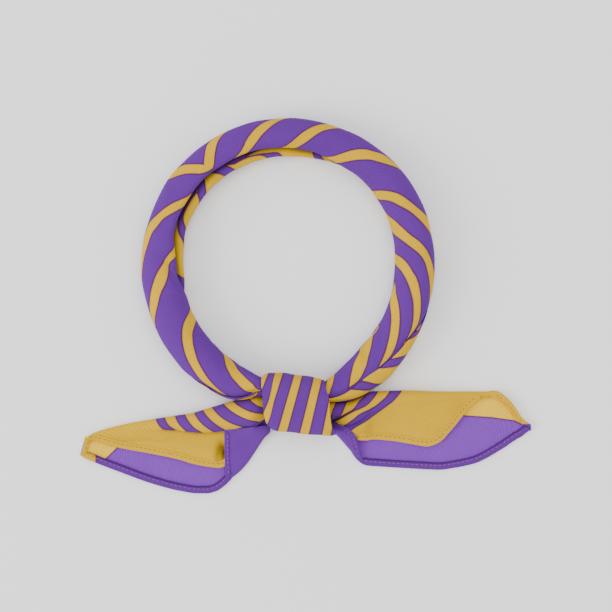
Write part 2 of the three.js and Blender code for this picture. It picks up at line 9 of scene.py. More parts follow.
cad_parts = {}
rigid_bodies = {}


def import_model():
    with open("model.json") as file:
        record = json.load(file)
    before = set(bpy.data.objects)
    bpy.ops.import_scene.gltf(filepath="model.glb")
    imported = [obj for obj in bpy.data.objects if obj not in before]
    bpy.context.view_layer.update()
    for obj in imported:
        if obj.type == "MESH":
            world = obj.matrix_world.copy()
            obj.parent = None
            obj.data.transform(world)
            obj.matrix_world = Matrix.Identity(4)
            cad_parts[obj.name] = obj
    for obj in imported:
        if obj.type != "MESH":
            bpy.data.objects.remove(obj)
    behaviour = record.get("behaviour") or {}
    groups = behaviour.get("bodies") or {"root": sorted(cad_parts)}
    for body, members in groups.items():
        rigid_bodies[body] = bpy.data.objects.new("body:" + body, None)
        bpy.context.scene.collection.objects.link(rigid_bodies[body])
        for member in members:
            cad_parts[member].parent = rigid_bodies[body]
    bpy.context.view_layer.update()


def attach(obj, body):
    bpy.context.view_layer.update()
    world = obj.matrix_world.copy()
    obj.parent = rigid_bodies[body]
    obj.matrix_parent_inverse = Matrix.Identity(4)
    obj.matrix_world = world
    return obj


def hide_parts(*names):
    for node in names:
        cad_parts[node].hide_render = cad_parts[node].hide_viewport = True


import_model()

# Sizes in millimetres, as in the part.
NECK_RADIUS, ROLL_WIDTH, ROLL_HEIGHT, REST_FLAT = 57.6, 20.6, 17.5, 0.06
KNOT_WIDTH, KNOT_DEPTH, KNOT_HEIGHT, KNOT_WALL = 35.6, 31.6, 23.5, 1.3
KNOT_INSET, KNOT_SHIFT, KNOT_SQUARE = 1.2, 4.9, 3.0
ROLL_PART, ROLL_SQUEEZE, PINCH_RUN = 0.36, 0.77, 18.0
# The roll's inner side beside the knot: distance from the knot's middle, place towards the ring's middle.
INNER_SIDE = {
    "left": np.array([
        (0, -62.2), (16.5, -62), (19.3, -60.6), (24.7, -57.5), (34.1, -52.0), (39.1, -47.7), (46, -41)]),
    "right": np.array([
        (0, -63.9), (13.6, -63.9), (15.4, -62.5), (19.9, -58.7), (28, -50.8), (33.5, -44.5), (40, -37)]),
}
INNER_REACH, INNER_BLEND = 39.0, 13.0
LEFT_LENGTH, RIGHT_LENGTH, TAIL_DROP, TAIL_HEIGHT = 97.5, 105.5, 48.0, 17.0
CLOTH, LAYER_GAP, FRONT_RUN, CLEARANCE = 1.1, 0.4, 0.9, 0.35
SHIFT = np.array([-8.82, 21.9, 0.0])
THIN = 0.62  # the visible cloth

# Of the free roll: angle, inset, width, height.
ROLL = np.array([
    (0, 0.1, 0.95, 0.97), (30, 0.07, 0.98, 0.98), (42, 0.035, 1.04, 0.99), (66, -0.02, 1.045, 1),
    (90, -0.09, 1.11, 0.98), (112, 0, 0.99, 1), (128, 0, 1.01, 1), (145, 0.01, 0.99, 1), (180, 0, 1, 1),
    (198, 0.04, 0.94, 1), (218, 0.105, 0.91, 1), (245, 0.05, 0.98, 1), (270, -0.02, 1.03, 1),
    (300, 0.02, 1.04, 1), (318, 0.06, 1.08, 0.98), (330, 0.12, 1.0, 0.97), (360, 0.1, 0.95, 0.97)])
# Angle, place of the folded edge in the section, its depth, the lip's rounding, the rise below it.
LAP = np.array([
    (0, 50, 0.9, 14, 40), (12, 62, 0.9, 16, 45), (22, 27, 0.8, 14, 40), (36, 15, 0.2, 12, 35),
    (52, -70, 0.8, 12, 35), (66, -145, 1.2, 14, 35), (76, -186, 2.6, 20, 36), (84, -212, 4.6, 26, 44),
    (92, -214, 6.4, 28, 50), (98, -219, 7.4, 30, 50), (104, -228, 8.0, 30, 50), (128, -229, 8.2, 30, 50),
    (136, -231, 8.2, 30, 50), (148, -224, 8.0, 30, 50), (160, -225, 8.0, 30, 50),
    (176, -219, 7.6, 30, 48), (188, -214, 6.0, 26, 44), (202, -196, 3.2, 22, 40),
    (216, -170, 0.9, 12, 30), (235, -130, 0.7, 10, 30), (262, -70, 0.6, 10, 30), (288, 0, 0.5, 9, 26),
    (302, 50, 0.5, 9, 24), (328, 74, 0.6, 10, 24), (342, 51, 0.9, 12, 30), (360, 50, 0.9, 14, 40)])
LIP_GAP = 0.35  # how far the surface under the folded edge lies below it
# Of the band: place, top, bottom, height.
BAND = np.array([
    (0, 1.0, -0.88, 0.93), (0.07, 1.04, -0.92, 0.96), (0.3, 1.04, -0.97, 1), (0.54, 0.98, -1.02, 1),
    (0.73, 0.93, -1.05, 0.99), (0.92, 0.84, -1.08, 0.95), (1, 0.79, -1.04, 0.91)])
# Place from the top edge to the lower one, and how far the left and the right rim lean.
BAND_RIMS = np.array([
    (0, 0.02, -0.1), (0.02, -0.004, -0.094), (0.09, -0.02, -0.085), (0.33, -0.004, -0.035),
    (0.66, 0.015, -0.018), (0.885, 0.062, 0.012), (0.965, 0.125, 0.055), (1, 0.15, 0.08)])
# Of the tails: along, lean, top, pleat, front, back, height, swell, crease, root.
LEFT_TAIL = np.array([
    (-0.085, 0, -0.03, 0.1, 0.15, 0.24, 0.78, 0.5, 0.1, 1),
    (-0.035, 0, -0.045, 0.13, 0.16, 0.29, 0.8, 0.5, 0.12, 1),
    (0.01, -0.02, -0.085, 0.16, 0.2, 0.345, 0.92, 0.5, 0.16, 0.9),
    (0.08, -0.055, -0.07, 0.21, 0.3, 0.47, 1, 0.4, 0.2, 0.3),
    (0.155, -0.08, -0.035, 0.25, 0.42, 0.59, 0.92, 0.4, 0.2, 0),
    (0.23, -0.09, 0.01, 0.285, 0.62, 0.76, 0.82, 0.4, 0.2, 0),
    (0.31, -0.085, 0.06, 0.31, 0.735, 0.945, 0.72, 0.4, 0.2, 0),
    (0.35, -0.08, 0.085, 0.315, 0.725, 1.0, 0.67, 0.41, 0.2, 0),
    (0.39, -0.075, 0.11, 0.312, 0.71, 1.02, 0.62, 0.42, 0.2, 0),
    (0.43, -0.065, 0.123, 0.305, 0.69, 1.02, 0.58, 0.45, 0.19, 0),
    (0.5, -0.04, 0.145, 0.29, 0.635, 0.993, 0.5, 0.5, 0.16, 0),
    (0.62, 0, 0.185, 0.3, 0.575, 0.908, 0.4, 0.6, 0.05, 0),
    (0.755, 0.03, 0.235, 0.36, 0.52, 0.787, 0.31, 0.6, 0, 0),
    (0.875, 0.045, 0.295, 0.38, 0.455, 0.682, 0.24, 0.5, 0, 0),
    (0.94, 0.045, 0.34, 0.38, 0.42, 0.628, 0.2, 0.4, 0, 0),
    (0.985, 0.028, 0.385, 0.4, 0.42, 0.595, 0.19, 0.4, 0, 0)])
RIGHT_TAIL = np.array([
    (-0.075, 0, -0.02, 0.1, 0.15, 0.18, 0.78, 0.5, 0.1, 1),
    (-0.02, 0, -0.02, 0.13, 0.16, 0.19, 0.82, 0.5, 0.12, 1),
    (0.015, 0, -0.025, 0.15, 0.18, 0.2, 0.88, 0.5, 0.2, 1),
    (0.045, 0.01, -0.045, 0.13, 0.27, 0.385, 0.9, 0.54, 0.26, 0.6),
    (0.07, 0.02, -0.075, 0.11, 0.33, 0.49, 0.9, 0.6, 0.26, 0.2),
    (0.12, 0.02, -0.105, 0.07, 0.42, 0.65, 0.84, 0.68, 0.2, 0),
    (0.17, 0.02, -0.125, 0.04, 0.425, 0.708, 0.79, 0.7, 0.1, 0),
    (0.21, 0.02, -0.13, 0.03, 0.415, 0.714, 0.75, 0.72, 0.03, 0),
    (0.3, 0.02, -0.14, 0.03, 0.43, 0.728, 0.66, 0.74, 0, 0),
    (0.4, 0.02, -0.142, 0.03, 0.465, 0.74, 0.56, 0.72, 0, 0),
    (0.48, 0.02, -0.135, 0.03, 0.492, 0.75, 0.48, 0.68, 0, 0),
    (0.535, 0.02, -0.13, 0.01, 0.46, 0.755, 0.43, 0.62, 0, 0),
    (0.606, 0.015, -0.127, -0.02, 0.322, 0.738, 0.37, 0.58, 0, 0),
    (0.676, 0.01, -0.127, -0.05, 0.144, 0.712, 0.3, 0.5, 0, 0),
    (0.737, 0.005, -0.127, -0.07, 0.0, 0.68, 0.25, 0.4, 0, 0),
    (0.798, 0, -0.125, -0.09, -0.07, 0.624, 0.2, 0.4, 0, 0),
    (0.834, 0, -0.136, -0.1, -0.09, 0.577, 0.19, 0.4, 0, 0),
    (0.859, 0, -0.125, -0.09, -0.075, 0.544, 0.19, 0.4, 0, 0),
    (0.89, 0, -0.08, -0.045, -0.03, 0.503, 0.19, 0.4, 0, 0),
    (0.92, 0, -0.018, 0.02, 0.035, 0.457, 0.19, 0.4, 0, 0),
    (0.948, 0, 0.065, 0.1, 0.12, 0.416, 0.19, 0.4, 0, 0),
    (0.979, 0.003, 0.168, 0.21, 0.23, 0.372, 0.19, 0.4, 0, 0),
    (1.002, 0.003, 0.213, 0.25, 0.27, 0.33, 0.19, 0.4, 0, 0),
    (1.022, 0.002, 0.24, 0.26, 0.28, 0.306, 0.19, 0.4, 0, 0)])
# Of the flaps: place, along and down of the free side, along and down of the folded side, turn.
LEFT_FLAP = np.array([
    (0, 0.212, 0.3, -0.035, 0.25, 0), (0.1, 0.212, 0.36, -0.038, 0.31, 0.5),
    (0.24, 0.212, 0.45, 0.002, 0.41, 1), (0.42, 0.212, 0.56, 0.043, 0.54, 1),
    (0.6, 0.212, 0.66, 0.09, 0.68, 1), (0.75, 0.21, 0.745, 0.127, 0.765, 1),
    (0.9, 0.208, 0.83, 0.168, 0.832, 1), (1, 0.207, 0.885, 0.19, 0.862, 1)])
RIGHT_FLAP = np.array([
    (0, 0.004, 0.2, -0.012, 0.252, 0), (0.2, 0.075, 0.265, 0.024, 0.345, 1),
    (0.45, 0.12, 0.35, 0.052, 0.41, 1), (0.7, 0.142, 0.46, 0.092, 0.512, 1),
    (0.9, 0.156, 0.585, 0.132, 0.612, 1), (1, 0.166, 0.64, 0.152, 0.662, 1)])


def hermite(low, high, start, end, t):
    """A cubic from one value to another, with the stated slopes at its ends."""
    cubic = 2 * (low - high) + start + end
    return ((cubic * t + 3 * (high - low) - 2 * start - end) * t + start) * t + low


def read(table, column, at):
    """A smooth value between the rows of a table, which doesn't overshoot them."""
    xs, ys = table[:, 0], table[:, column]
    at = np.clip(np.asarray(at, float), xs[0], xs[-1])
    run = np.diff(xs)
    slope = np.diff(ys) / run
    bend = np.zeros(len(xs))
    before, after = slope[:-1], slope[1:]
    same = before * after > 0
    bend[1:-1][same] = 2 * before[same] * after[same] / (before[same] + after[same])
    i = np.clip(np.searchsorted(xs, at, side="left") - 1, 0, len(xs) - 2)
    t = (at - xs[i]) / run[i]
    return hermite(ys[i], ys[i + 1], bend[i] * run[i], bend[i + 1] * run[i], t)


def ease(x):
    """A soft step from 0 to 1."""
    x = np.clip(x, 0, 1)
    return x * x * (3 - 2 * x)


def mix(a, b, t):
    """A value between two others."""
    return a + (b - a) * t


def power(x, n):
    """Half the outline of a section between a circle, with n = 2, and a square."""
    return np.sign(x) * np.abs(x) ** (2 / n)


KNOT_X = KNOT_SHIFT
KNOT_Y = -(NECK_RADIUS + KNOT_INSET + KNOT_DEPTH / 2)
KNOT_HALF = KNOT_HEIGHT / (2 - REST_FLAT)
KNOT_Z = KNOT_HALF * (1 - REST_FLAT)
BAND_LEAST = 0.93  # share of the band's depth and height that its hollow can count on
HOLLOW_DEPTH = BAND_LEAST * KNOT_DEPTH - 2 * (KNOT_WALL + CLEARANCE)
HOLLOW_HEIGHT = 2 * (BAND_LEAST * KNOT_HALF - KNOT_WALL - CLEARANCE)
HELD_TO = 0.53  # share of the band's width, to each side of its middle, where the roll has its least width
SQUARE_FREE, SQUARE_HELD = 2.15, 2.8  # how square the roll's section is
PASS_WIDTH = ROLL_PART * HOLLOW_DEPTH
PASS_HEIGHT = ROLL_SQUEEZE * HOLLOW_HEIGHT
ROLL_MIDDLE = 68.0  # the radius of the roll's middle line
TURN = 9.7 * math.pi / 180  # millimetres along the section for a degree of it
ROUND = ROLL_MIDDLE * math.pi / 180  # millimetres along the ring for a degree of it


def roll_section(angle):
    """The roll's section at an angle round the ring: its middle, the way outwards, its half sizes and how
    square it is. Beside the knot it is drawn in to the width that goes through the band."""
    angle = np.asarray(angle, float)
    turn = np.radians(angle)
    out = np.stack([-np.sin(turn), -np.cos(turn)], -1)
    width = ROLL_WIDTH * read(ROLL, 2, angle)
    radius = NECK_RADIUS + ROLL_WIDTH * read(ROLL, 1, angle) + width / 2
    x = out[..., 0] * radius
    beside = np.abs(x - KNOT_X) - KNOT_WIDTH * HELD_TO
    held = np.where(out[..., 1] > 0, 0.0, ease(1 - beside / PINCH_RUN))
    side = KNOT_DEPTH / 2 * read(BAND, 1, (x - KNOT_X) / KNOT_WIDTH + 0.5)
    pass_y = KNOT_Y + side - KNOT_WALL - 2 * CLEARANCE - PASS_WIDTH / 2
    y = mix(out[..., 1] * radius, pass_y, held)
    away = np.stack([out[..., 0] * (1 - held), mix(out[..., 1], -1, held)], -1)
    away /= np.linalg.norm(away, axis=-1, keepdims=True)
    half = mix(ROLL_HEIGHT * read(ROLL, 3, angle) / (2 - REST_FLAT), PASS_HEIGHT / 2, held)
    outer = np.stack([x, y], -1) + away * mix(width, PASS_WIDTH, held)[..., None] / 2
    free = out * (radius - width / 2)[..., None]
    near = np.where(out[..., 1] > 0, 0.0, ease((INNER_REACH - np.abs(free[..., 0] - KNOT_X)) / INNER_BLEND))
    drawn_x = mix(free[..., 0], x, near ** 2)
    off = drawn_x - KNOT_X
    drawn_y = np.where(off < 0, read(INNER_SIDE["left"], 1, -off), read(INNER_SIDE["right"], 1, off))
    inner = mix(free, np.stack([drawn_x, drawn_y], -1), near[..., None])
    middle, across = (outer + inner) / 2, outer - inner
    wide = np.linalg.norm(across, axis=-1)
    return dict(x=middle[..., 0], y=middle[..., 1], z=mix(half * (1 - REST_FLAT), KNOT_Z, held),
                away=across / wide[..., None], held=held, half_width=wide / 2, half_height=half,
                square=mix(SQUARE_FREE, SQUARE_HELD, held))


# Drawing of the print.

def smooth_line(points, rounds=2):
    """A line with its corners cut, the stated number of times."""
    p = np.asarray(points, float)
    for _ in range(rounds):
        if len(p) < 3:
            return p
        q = np.empty((2 * len(p) - 2, 2))
        q[0::2] = 0.75 * p[:-1] + 0.25 * p[1:]
        q[1::2] = 0.25 * p[:-1] + 0.75 * p[1:]
        p = np.vstack([p[:1], q, p[-1:]])
    return p


def inside_distance(points, polygons):
    """Distance in millimetres from the border of the nearest polygon, positive inside."""
    best = np.full(len(points), -50.0)
    for poly in polygons:
        low, high = poly.min(0) - 4, poly.max(0) + 4
        near = np.all((points > low) & (points < high), axis=1)
        if not near.any():
            continue
        p = points[near]
        a, b = poly, np.roll(poly, -1, axis=0)
        dist = np.full(len(p), 1e9)
        odd = np.zeros(len(p), bool)
        for (ax, ay), (bx, by) in zip(a, b):
            ex, ey = bx - ax, by - ay
            long = ex * ex + ey * ey
            if long < 1e-12:
                continue
            t = np.clip(((p[:, 0] - ax) * ex + (p[:, 1] - ay) * ey) / long, 0, 1)
            d = (p[:, 0] - ax - t * ex) ** 2 + (p[:, 1] - ay - t * ey) ** 2
            dist = np.minimum(dist, d)
            cross = (ay > p[:, 1]) != (by > p[:, 1])
            with np.errstate(divide="ignore", invalid="ignore"):
                at = (bx - ax) * (p[:, 1] - ay) / (by - ay) + ax
            odd ^= cross & (p[:, 0] < at)
        signed = np.sqrt(dist) * np.where(odd, 1, -1)
        best[near] = np.maximum(best[near], signed)
    return best


# Lines of the print, seen from above, as places in the photograph. The ring's middle is at RING_PIXEL.
PIXEL = 0.535  # millimetres for a pixel
RING_PIXEL = np.array([288.0, 264.0])
EYE = np.array([9.63, -22.47, 918.4])  # the camera's place, in the ring's frame
VIEW_PLANE = 9.0  # the height at which a pixel is PIXEL millimetres wide


def photo(points):
    """Places in the photograph as millimetres from the ring's middle."""
    p = np.asarray(points, float) - RING_PIXEL
    return p * (PIXEL, -PIXEL)


OPEN = (14, 14)  # how far a stripe goes on past the ends of its borders, in millimetres
# Stripes of the open turn: its two borders, and how far it goes on past their ends.
MAIN = [
    ([(174, 171.5), (182, 165.4), (191.2, 164.3), (204, 164.8), (204, 164.8), (205, 154), (207.2, 144.8),
      (211.8, 140.2)],
     [(166, 181.5), (170.5, 179.2), (179.7, 175.2), (188.9, 173.5), (200.4, 174), (209, 171), (213, 168),
      (213, 168), (214.1, 163), (215.3, 151.7), (217.6, 142.5), (223.9, 133.9)], OPEN),
    ([(235.9, 158), (241.7, 150.5), (246.3, 140.2), (252, 132.1), (258.9, 125.3), (268.1, 120.7)],
     [(247.4, 154), (255.5, 143.6), (263.5, 133.3), (271.5, 126.4), (284.2, 118.9)], (4, 14)),
    ([(280.3, 149.4), (289.5, 143.6), (298.7, 135.6), (309, 128.7), (320.5, 124.7), (327.4, 124.3)],
     [(294.1, 149.4), (304.4, 143.6), (313.6, 136.7), (322.8, 131), (334.3, 128.7), (343.5, 129.3)],
      (4, 14)),
    ([(324, 157.1), (333.1, 156.3), (343.5, 152.8), (352.7, 149.9), (366.4, 149.4), (373.3, 151.7),
      (384.8, 155.1), (390.5, 159.7)],
     [(337.7, 162.9), (348.1, 161.4), (357.2, 159.7), (369.9, 159.5), (380.2, 162.6), (391.7, 166),
      (399.7, 169.5)], (4, 14)),
    ([(372.2, 190.7), (380.2, 190.1), (394, 191.8), (403.2, 196.4), (412.3, 203.3), (420.4, 210.2),
      (427.3, 217.7)],
     [(378.5, 199.3), (388.2, 199.9), (398.6, 205), (410, 211.3), (419.2, 219.4), (426.1, 227.4),
      (431.3, 235.5)], OPEN),
    ([(386.5, 213.6), (394, 219.4), (402, 227.4), (412.3, 236.6), (422.7, 244.6), (428.4, 252.7),
      (431.9, 263)],
     [(392.8, 232.6), (402, 240), (412.3, 248.1), (420.4, 255), (425, 261.9), (427.3, 271),
      (429.7, 283)], OPEN),
    ([(395.1, 253.3), (402, 257.3), (408.9, 265.3), (413.5, 273.3), (415.9, 276.1), (420.5, 294.4),
      (421.1, 305.9), (420, 317.4), (415.9, 328.9), (408.5, 339.2)],
     [(395.1, 264.2), (399.7, 268.7), (404.3, 275.6), (409, 285.3), (413.1, 300.2), (413.6, 311.7),
      (413.1, 319.7), (407.9, 339.2)], (14, 3)),
    ([(393.6, 285.3), (390.1, 297.9), (391.3, 311.7), (390.7, 328.9), (387.2, 346.1), (382.7, 358.7),
      (379.2, 366.8)],
     [(395.3, 288.7), (398.7, 303.6), (399.9, 319.7), (398.7, 333.5), (395.3, 347.2), (390.7, 357.6),
      (380.4, 366.8)], (3, 0.8)),
    ([(371.2, 334.6), (360.8, 347.2), (355.1, 358.7), (351.1, 373.6), (348.8, 387.4)],
     [(373.5, 335.2), (371.2, 347.2), (367.7, 359.9), (363.1, 372.5), (358.5, 381.7), (349.4, 387.4)],
      (1, 0.5)),
    ([(372, 334.5), (375.5, 331), (377.8, 326)],
     [(373.3, 335.2), (376, 332.5), (379.3, 326), (378.5, 323.5)], (1, 1)),
    ([(327, 380), (326, 386), (325, 392)],
     [(335, 373.6), (333.3, 382.8), (330.4, 390.9)], (6, 4)),
    ([(191.4, 194.7), (184.3, 198.2), (177.4, 201), (170.5, 204.4), (165.9, 207.6), (161.3, 211),
      (156.7, 215.5), (152.1, 220), (149, 224), (146.8, 229)],
     [(185.4, 206.8), (177.4, 210.2), (169.4, 214.8), (162.5, 219.4), (156.7, 227.4), (151.6, 233.2),
      (146.6, 248), (143, 263)], (4, 14)),
    ([(175, 247), (166, 257), (162.5, 265), (155.6, 276), (151.6, 289), (150, 300), (150, 312),
      (154, 324)],
     [(176, 257), (169, 263), (169, 271.5), (166, 283), (161, 292), (158, 306), (155, 321)], (3, 6)),
    ([(190, 309.4), (184.3, 320.8), (182, 330), (182.6, 342.7), (186.6, 357.6), (193.5, 370.2),
      (202.7, 381.7), (214.1, 390.9), (227.9, 399.5)],
     [(195.8, 319.7), (192.9, 328.9), (192.3, 340.4), (195.8, 355.3), (202.7, 370.2), (211.8, 382.8),
      (221, 392), (230.2, 398.9)], (14, 4)),
    ([(223.9, 355.3), (225.6, 365.6), (230.2, 374.8), (237.1, 382.8), (244, 389.7), (253.2, 394.3)],
     [(233.6, 362.2), (240.5, 372.5), (248.6, 380.5), (255.5, 387.4), (260.6, 392)], (14, 4)),
]
# Stripes of the turn that comes out under the folded edge at the top left.
STRIP = [
    ([(183.4, 242.9), (180.3, 236.6), (178.3, 230.9), (178, 225.1), (178.6, 219.5)],
     [(183.5, 278), (180, 276), (176.8, 273.5)], (8, 6)),
    ([(186.8, 230.9), (184.3, 224), (183.3, 218.2), (184.3, 212.5), (187.7, 206.2), (191.7, 199.9)],
     [(199.4, 201.6), (198.6, 197.6), (197.5, 194.1), (196.9, 190.7)], (8, 6)),
    ([(206.3, 191.8), (205.9, 188.4), (205.5, 185), (204.7, 181.7)],
     [(224.7, 176), (221, 174.6), (217.6, 173.8), (213.6, 173.4)], (8, 6)),
    ([(235.4, 169.5), (231.9, 167.7), (227.9, 166.4)],
     [(267.5, 158), (264.9, 156.5), (261, 155.6), (252, 156.3), (246.3, 158), (240.5, 160.8),
      (236, 163.7)], (8, 1)),
    ([(283.6, 156.5), (280.7, 154), (277.8, 152.4), (270, 152.9), (262, 153.9), (256, 154.8)],
     [(315.9, 158.8), (313, 154.5)], (8, 6)),
    ([(328, 162), (322.2, 156.8)],
     [(353, 172), (349, 169)], (10, 6)),
]
# Stripes of the turn below the seam on the outer side, at both sides of the knot.
LOW = [
    ([(406.8, 340.4), (418.2, 333.5)],
     [(391.8, 358.7), (399.9, 356.4), (409, 351.8)], (4, 14)),
    ([(379.2, 368.5), (389.5, 367.3), (398.7, 365)],
     [(360.8, 380.5), (371.2, 382.3), (383.8, 381.7)], (4, 14)),
    ([(329.8, 394.9), (340.2, 392), (349.4, 389.3), (359.7, 389.7), (368.9, 390.3)],
     [(329.8, 403.5), (343.6, 401), (357.4, 397.5), (367.7, 394)], (4, 14)),
    ([(414.8, 330), (420, 324), (424, 318)],
     [(421, 326), (425, 318), (426.5, 311)], (2, 2)),
    ([(239.4, 399.6), (246.3, 397.8), (253.2, 395.2), (260, 391)],
     [(239.4, 401.6), (248.6, 399.6), (253.2, 397), (256, 395), (258, 392.5)], (1, 1)),
    ([(204, 384.5), (213, 392), (224, 398.5)],
     [(203, 386.5), (212, 394), (223, 400)], (2, 2)),
]
# Creases of the roll: the ends of each, its width and its depth in millimetres.
ROLL_CREASES = [
    ((192, 333.5), (213, 340), 1.6, 0.45),
    ((168, 262), (177, 285), 1.8, 0.7),
    ((362, 172), (377, 186), 2.4, 0.5),
    ((396, 262), (392, 300), 2.2, 0.35),
    ((330, 141), (352, 143), 3.0, 0.3),
    ((217, 352), (224, 374), 2.4, 0.4),
    ((364, 330), (352, 352), 2.2, 0.4),
]
# The band's stripes at its top edge and at its lower one: the place of one of them, their distance and
# the gold's width. They fan out a little downwards.
BAND_STRIPES = np.array([(0, 5.5, 10.3, 4.2), (1, -3.1, 11.7, 4.8)])

# Stripes on the tails, from their upper end to the crease, and the gold corners of the wrong side.
TAIL_PRINT = {
    "left": dict(
        stripes=[
            [(152, 413), (154.8, 418.9), (158, 425.3), (163, 430.5), (178, 432), (174.6, 429.7),
             (168.2, 425.3), (163.8, 417.6), (162, 413)],
            [(173, 412), (174.6, 416.6), (178.4, 424), (184.8, 430.6), (188, 434), (204, 434),
             (200.1, 431.6), (195, 428.4), (189.9, 422.7), (184.8, 415.3), (183, 410)],
            [(192, 408), (194.4, 413.8), (198.8, 420.2), (205.2, 426.5), (211.6, 431), (216, 434),
             (232, 434), (225.6, 430.1), (218, 425.3), (210.3, 418.9), (203.3, 411.2), (200, 406)],
            [(209, 404), (212.9, 408.7), (220.5, 416.3), (230.7, 422.7), (240.9, 426.5), (247, 429),
             (266, 424), (258.8, 421.4), (246, 418.2), (234.5, 412.5), (225, 405.5), (221, 401)],
            [(230, 398), (233.9, 402.3), (244.7, 408.7), (253.7, 411.9), (262, 413.1), (272, 414),
             (272, 410), (262.6, 406.8), (257.5, 404.8), (251.1, 400.4), (247, 395)],
        ],
        gold=[(80, 436), (88, 439), (116.3, 448), (102.6, 461), (86, 462)],
    ),
    "right": dict(
        stripes=[
            [(340, 396), (336.1, 401.3), (333.8, 405.9), (331.5, 412.8), (328, 424), (331.5, 421.4),
             (338, 417), (342.2, 412.9), (345.3, 404.4), (349.1, 398.3), (352, 392)],
            [(368, 388), (364.4, 396), (358.3, 401.3), (354.4, 407.4), (350, 410.6), (344.5, 413.2),
             (331, 421.3), (332, 423.2), (345, 415.2), (353, 411), (360, 408.4), (366.7, 405.2),
             (372.8, 399), (377.4, 392.9), (379, 388)],
            [(391, 388), (389.6, 392.1), (384.3, 398.3), (372, 408.2), (359.8, 412.8), (352.9, 418.9),
             (343.7, 425.5), (336, 432), (342, 436), (351, 431), (355.7, 427), (366, 421.5),
             (376, 414.4), (386, 406.7), (394, 400.6), (402, 391), (404, 388)],
        ],
        gold=[(455, 412), (465.5, 416.4), (494, 418.3), (516.5, 421.5), (530, 428), (534, 420),
              (500, 384), (460, 384), (448, 405)],
    ),
}
HEM_WIDTH, LEFT_TIP_HEM, RIGHT_TIP_HEM, FLAP_HEM = 3.2, 2.2, 2.6, 2.4  # widths of the hems
BAND_SQUEEZE, BAND_SQUEEZE_FROM = 0.27, -6.9  # the stripes lie closer at the band's left top corner
# The hems of a tail: the edge that each follows, the solid that it replaces and its run along the tail.
HEM_SPANS = {
    "left": [("back", "left_back_hem", 0.2, 0.972), ("front", "left_front_hem", 0.222, 0.97)],
    "right": [("back", "right_back_hem", 0.13, 1.02), ("front", "right_front_hem", 0.125, 0.772)],
}
HEM_GOLD_END = 94.0  # the left tail's lower hem is gold up to this place in the photograph
# The right tip is violet beyond the first place and below the height, and all over beyond the last place.
KNOB_FROM, KNOB_BELOW, KNOB_END = 126.4, -86.0, 129.2
CREASE = [(332, 422), (352.5, 410)]  # ends of the line along which shade is painted on the right tail's fold beside the knot
VIOLET, GOLDEN = -5.0, 5.0  # print distances well inside each colour
UNDER_SLANT, UNDER_PITCH, UNDER_GOLD = 0.8, 11.0, 4.0  # the plain stripes on the tails' underside
POCKET = dict(x=-35.4, y=-101.5, wide=2.8, tall=6.0, deep=5.0, edge=-33.7)  # the hollow beside the left flap


def sunk_turn(angle, section, aside):
    """Degrees of the section, on the surface that comes out sunk under the folded edge."""
    edge, depth, rise = (read(LAP, k, angle) for k in (1, 2, 4))
    low, high = edge + 360, edge + 360 + rise
    for _ in range(30):
        turn = (low + high) / 2
        deep = (depth + LIP_GAP) * (1 - ease((turn - edge - 360) / rise)) ** 1.15
        reach = power(np.cos(np.radians(turn)), section["square"]) * (section["half_width"] - deep)
        before = reach > aside
        low, high = np.where(before, turn, low), np.where(before, high, turn)
    return turn


def to_roll(points, sunk=False):
    """Places in the view from above as places on the roll: angle, and degrees of its section."""
    seen = np.asarray(points, float)
    p = seen
    angle = np.degrees(np.arctan2(-p[:, 0], -p[:, 1])) % 360
    for _ in range(25):
        s = roll_section(angle)
        aside = ((p - np.stack([s["x"], s["y"]], -1)) * s["away"]).sum(-1) / s["half_width"]
        up = np.clip(1 - np.abs(aside) ** s["square"], 0, 1) ** (1 / s["square"])
        drop = 1 if sunk else (EYE[2] - s["z"] - up * s["half_height"]) / (EYE[2] - VIEW_PLANE)
        p = EYE[:2] + (seen - EYE[:2]) * np.reshape(drop, (-1, 1))
        rel = p - np.stack([s["x"], s["y"]], -1)
        tangent = np.stack([s["away"][:, 1], -s["away"][:, 0]], -1)
        off = (rel * tangent).sum(-1)
        angle = (angle + np.degrees(off / ROLL_MIDDLE) * 0.8) % 360
    s = roll_section(angle)
    rel = p - np.stack([s["x"], s["y"]], -1)
    aside = (rel * s["away"]).sum(-1)
    if sunk:
        return angle, sunk_turn(angle, s, aside)
    across = aside / s["half_width"]
    across = np.sign(across) * np.abs(np.clip(across, -1, 1)) ** (s["square"] / 2)
    return angle, np.degrees(np.arccos(np.clip(across, -1, 1)))


def on_roll(points, over, past, sunk):
    """A border line on the unrolled roll, made longer past its ends by the stated millimetres."""
    angle, turn = to_roll(photo(points), sunk)
    if over:
        angle = np.where(angle < over, angle + 360, angle)
    p = smooth_line(np.stack([angle * ROUND, turn * TURN], -1))
    first = p[0] - p[1]
    last = p[-1] - p[-2]
    first *= past[0] / max(np.linalg.norm(first), 1e-6)
    last *= past[1] / max(np.linalg.norm(last), 1e-6)
    return np.vstack([p[:1] + first, p, p[-1:] + last])


def band_between(one, other, past, over=0.0, sunk=False):
    """A stripe between two border lines, as a polygon on the unrolled roll."""
    return np.vstack([on_roll(one, over, past, sunk), on_roll(other, over, past, sunk)[::-1]])


# Meshes.

RIM_LINES = 3  # lines of points round the rim of a layer of cloth


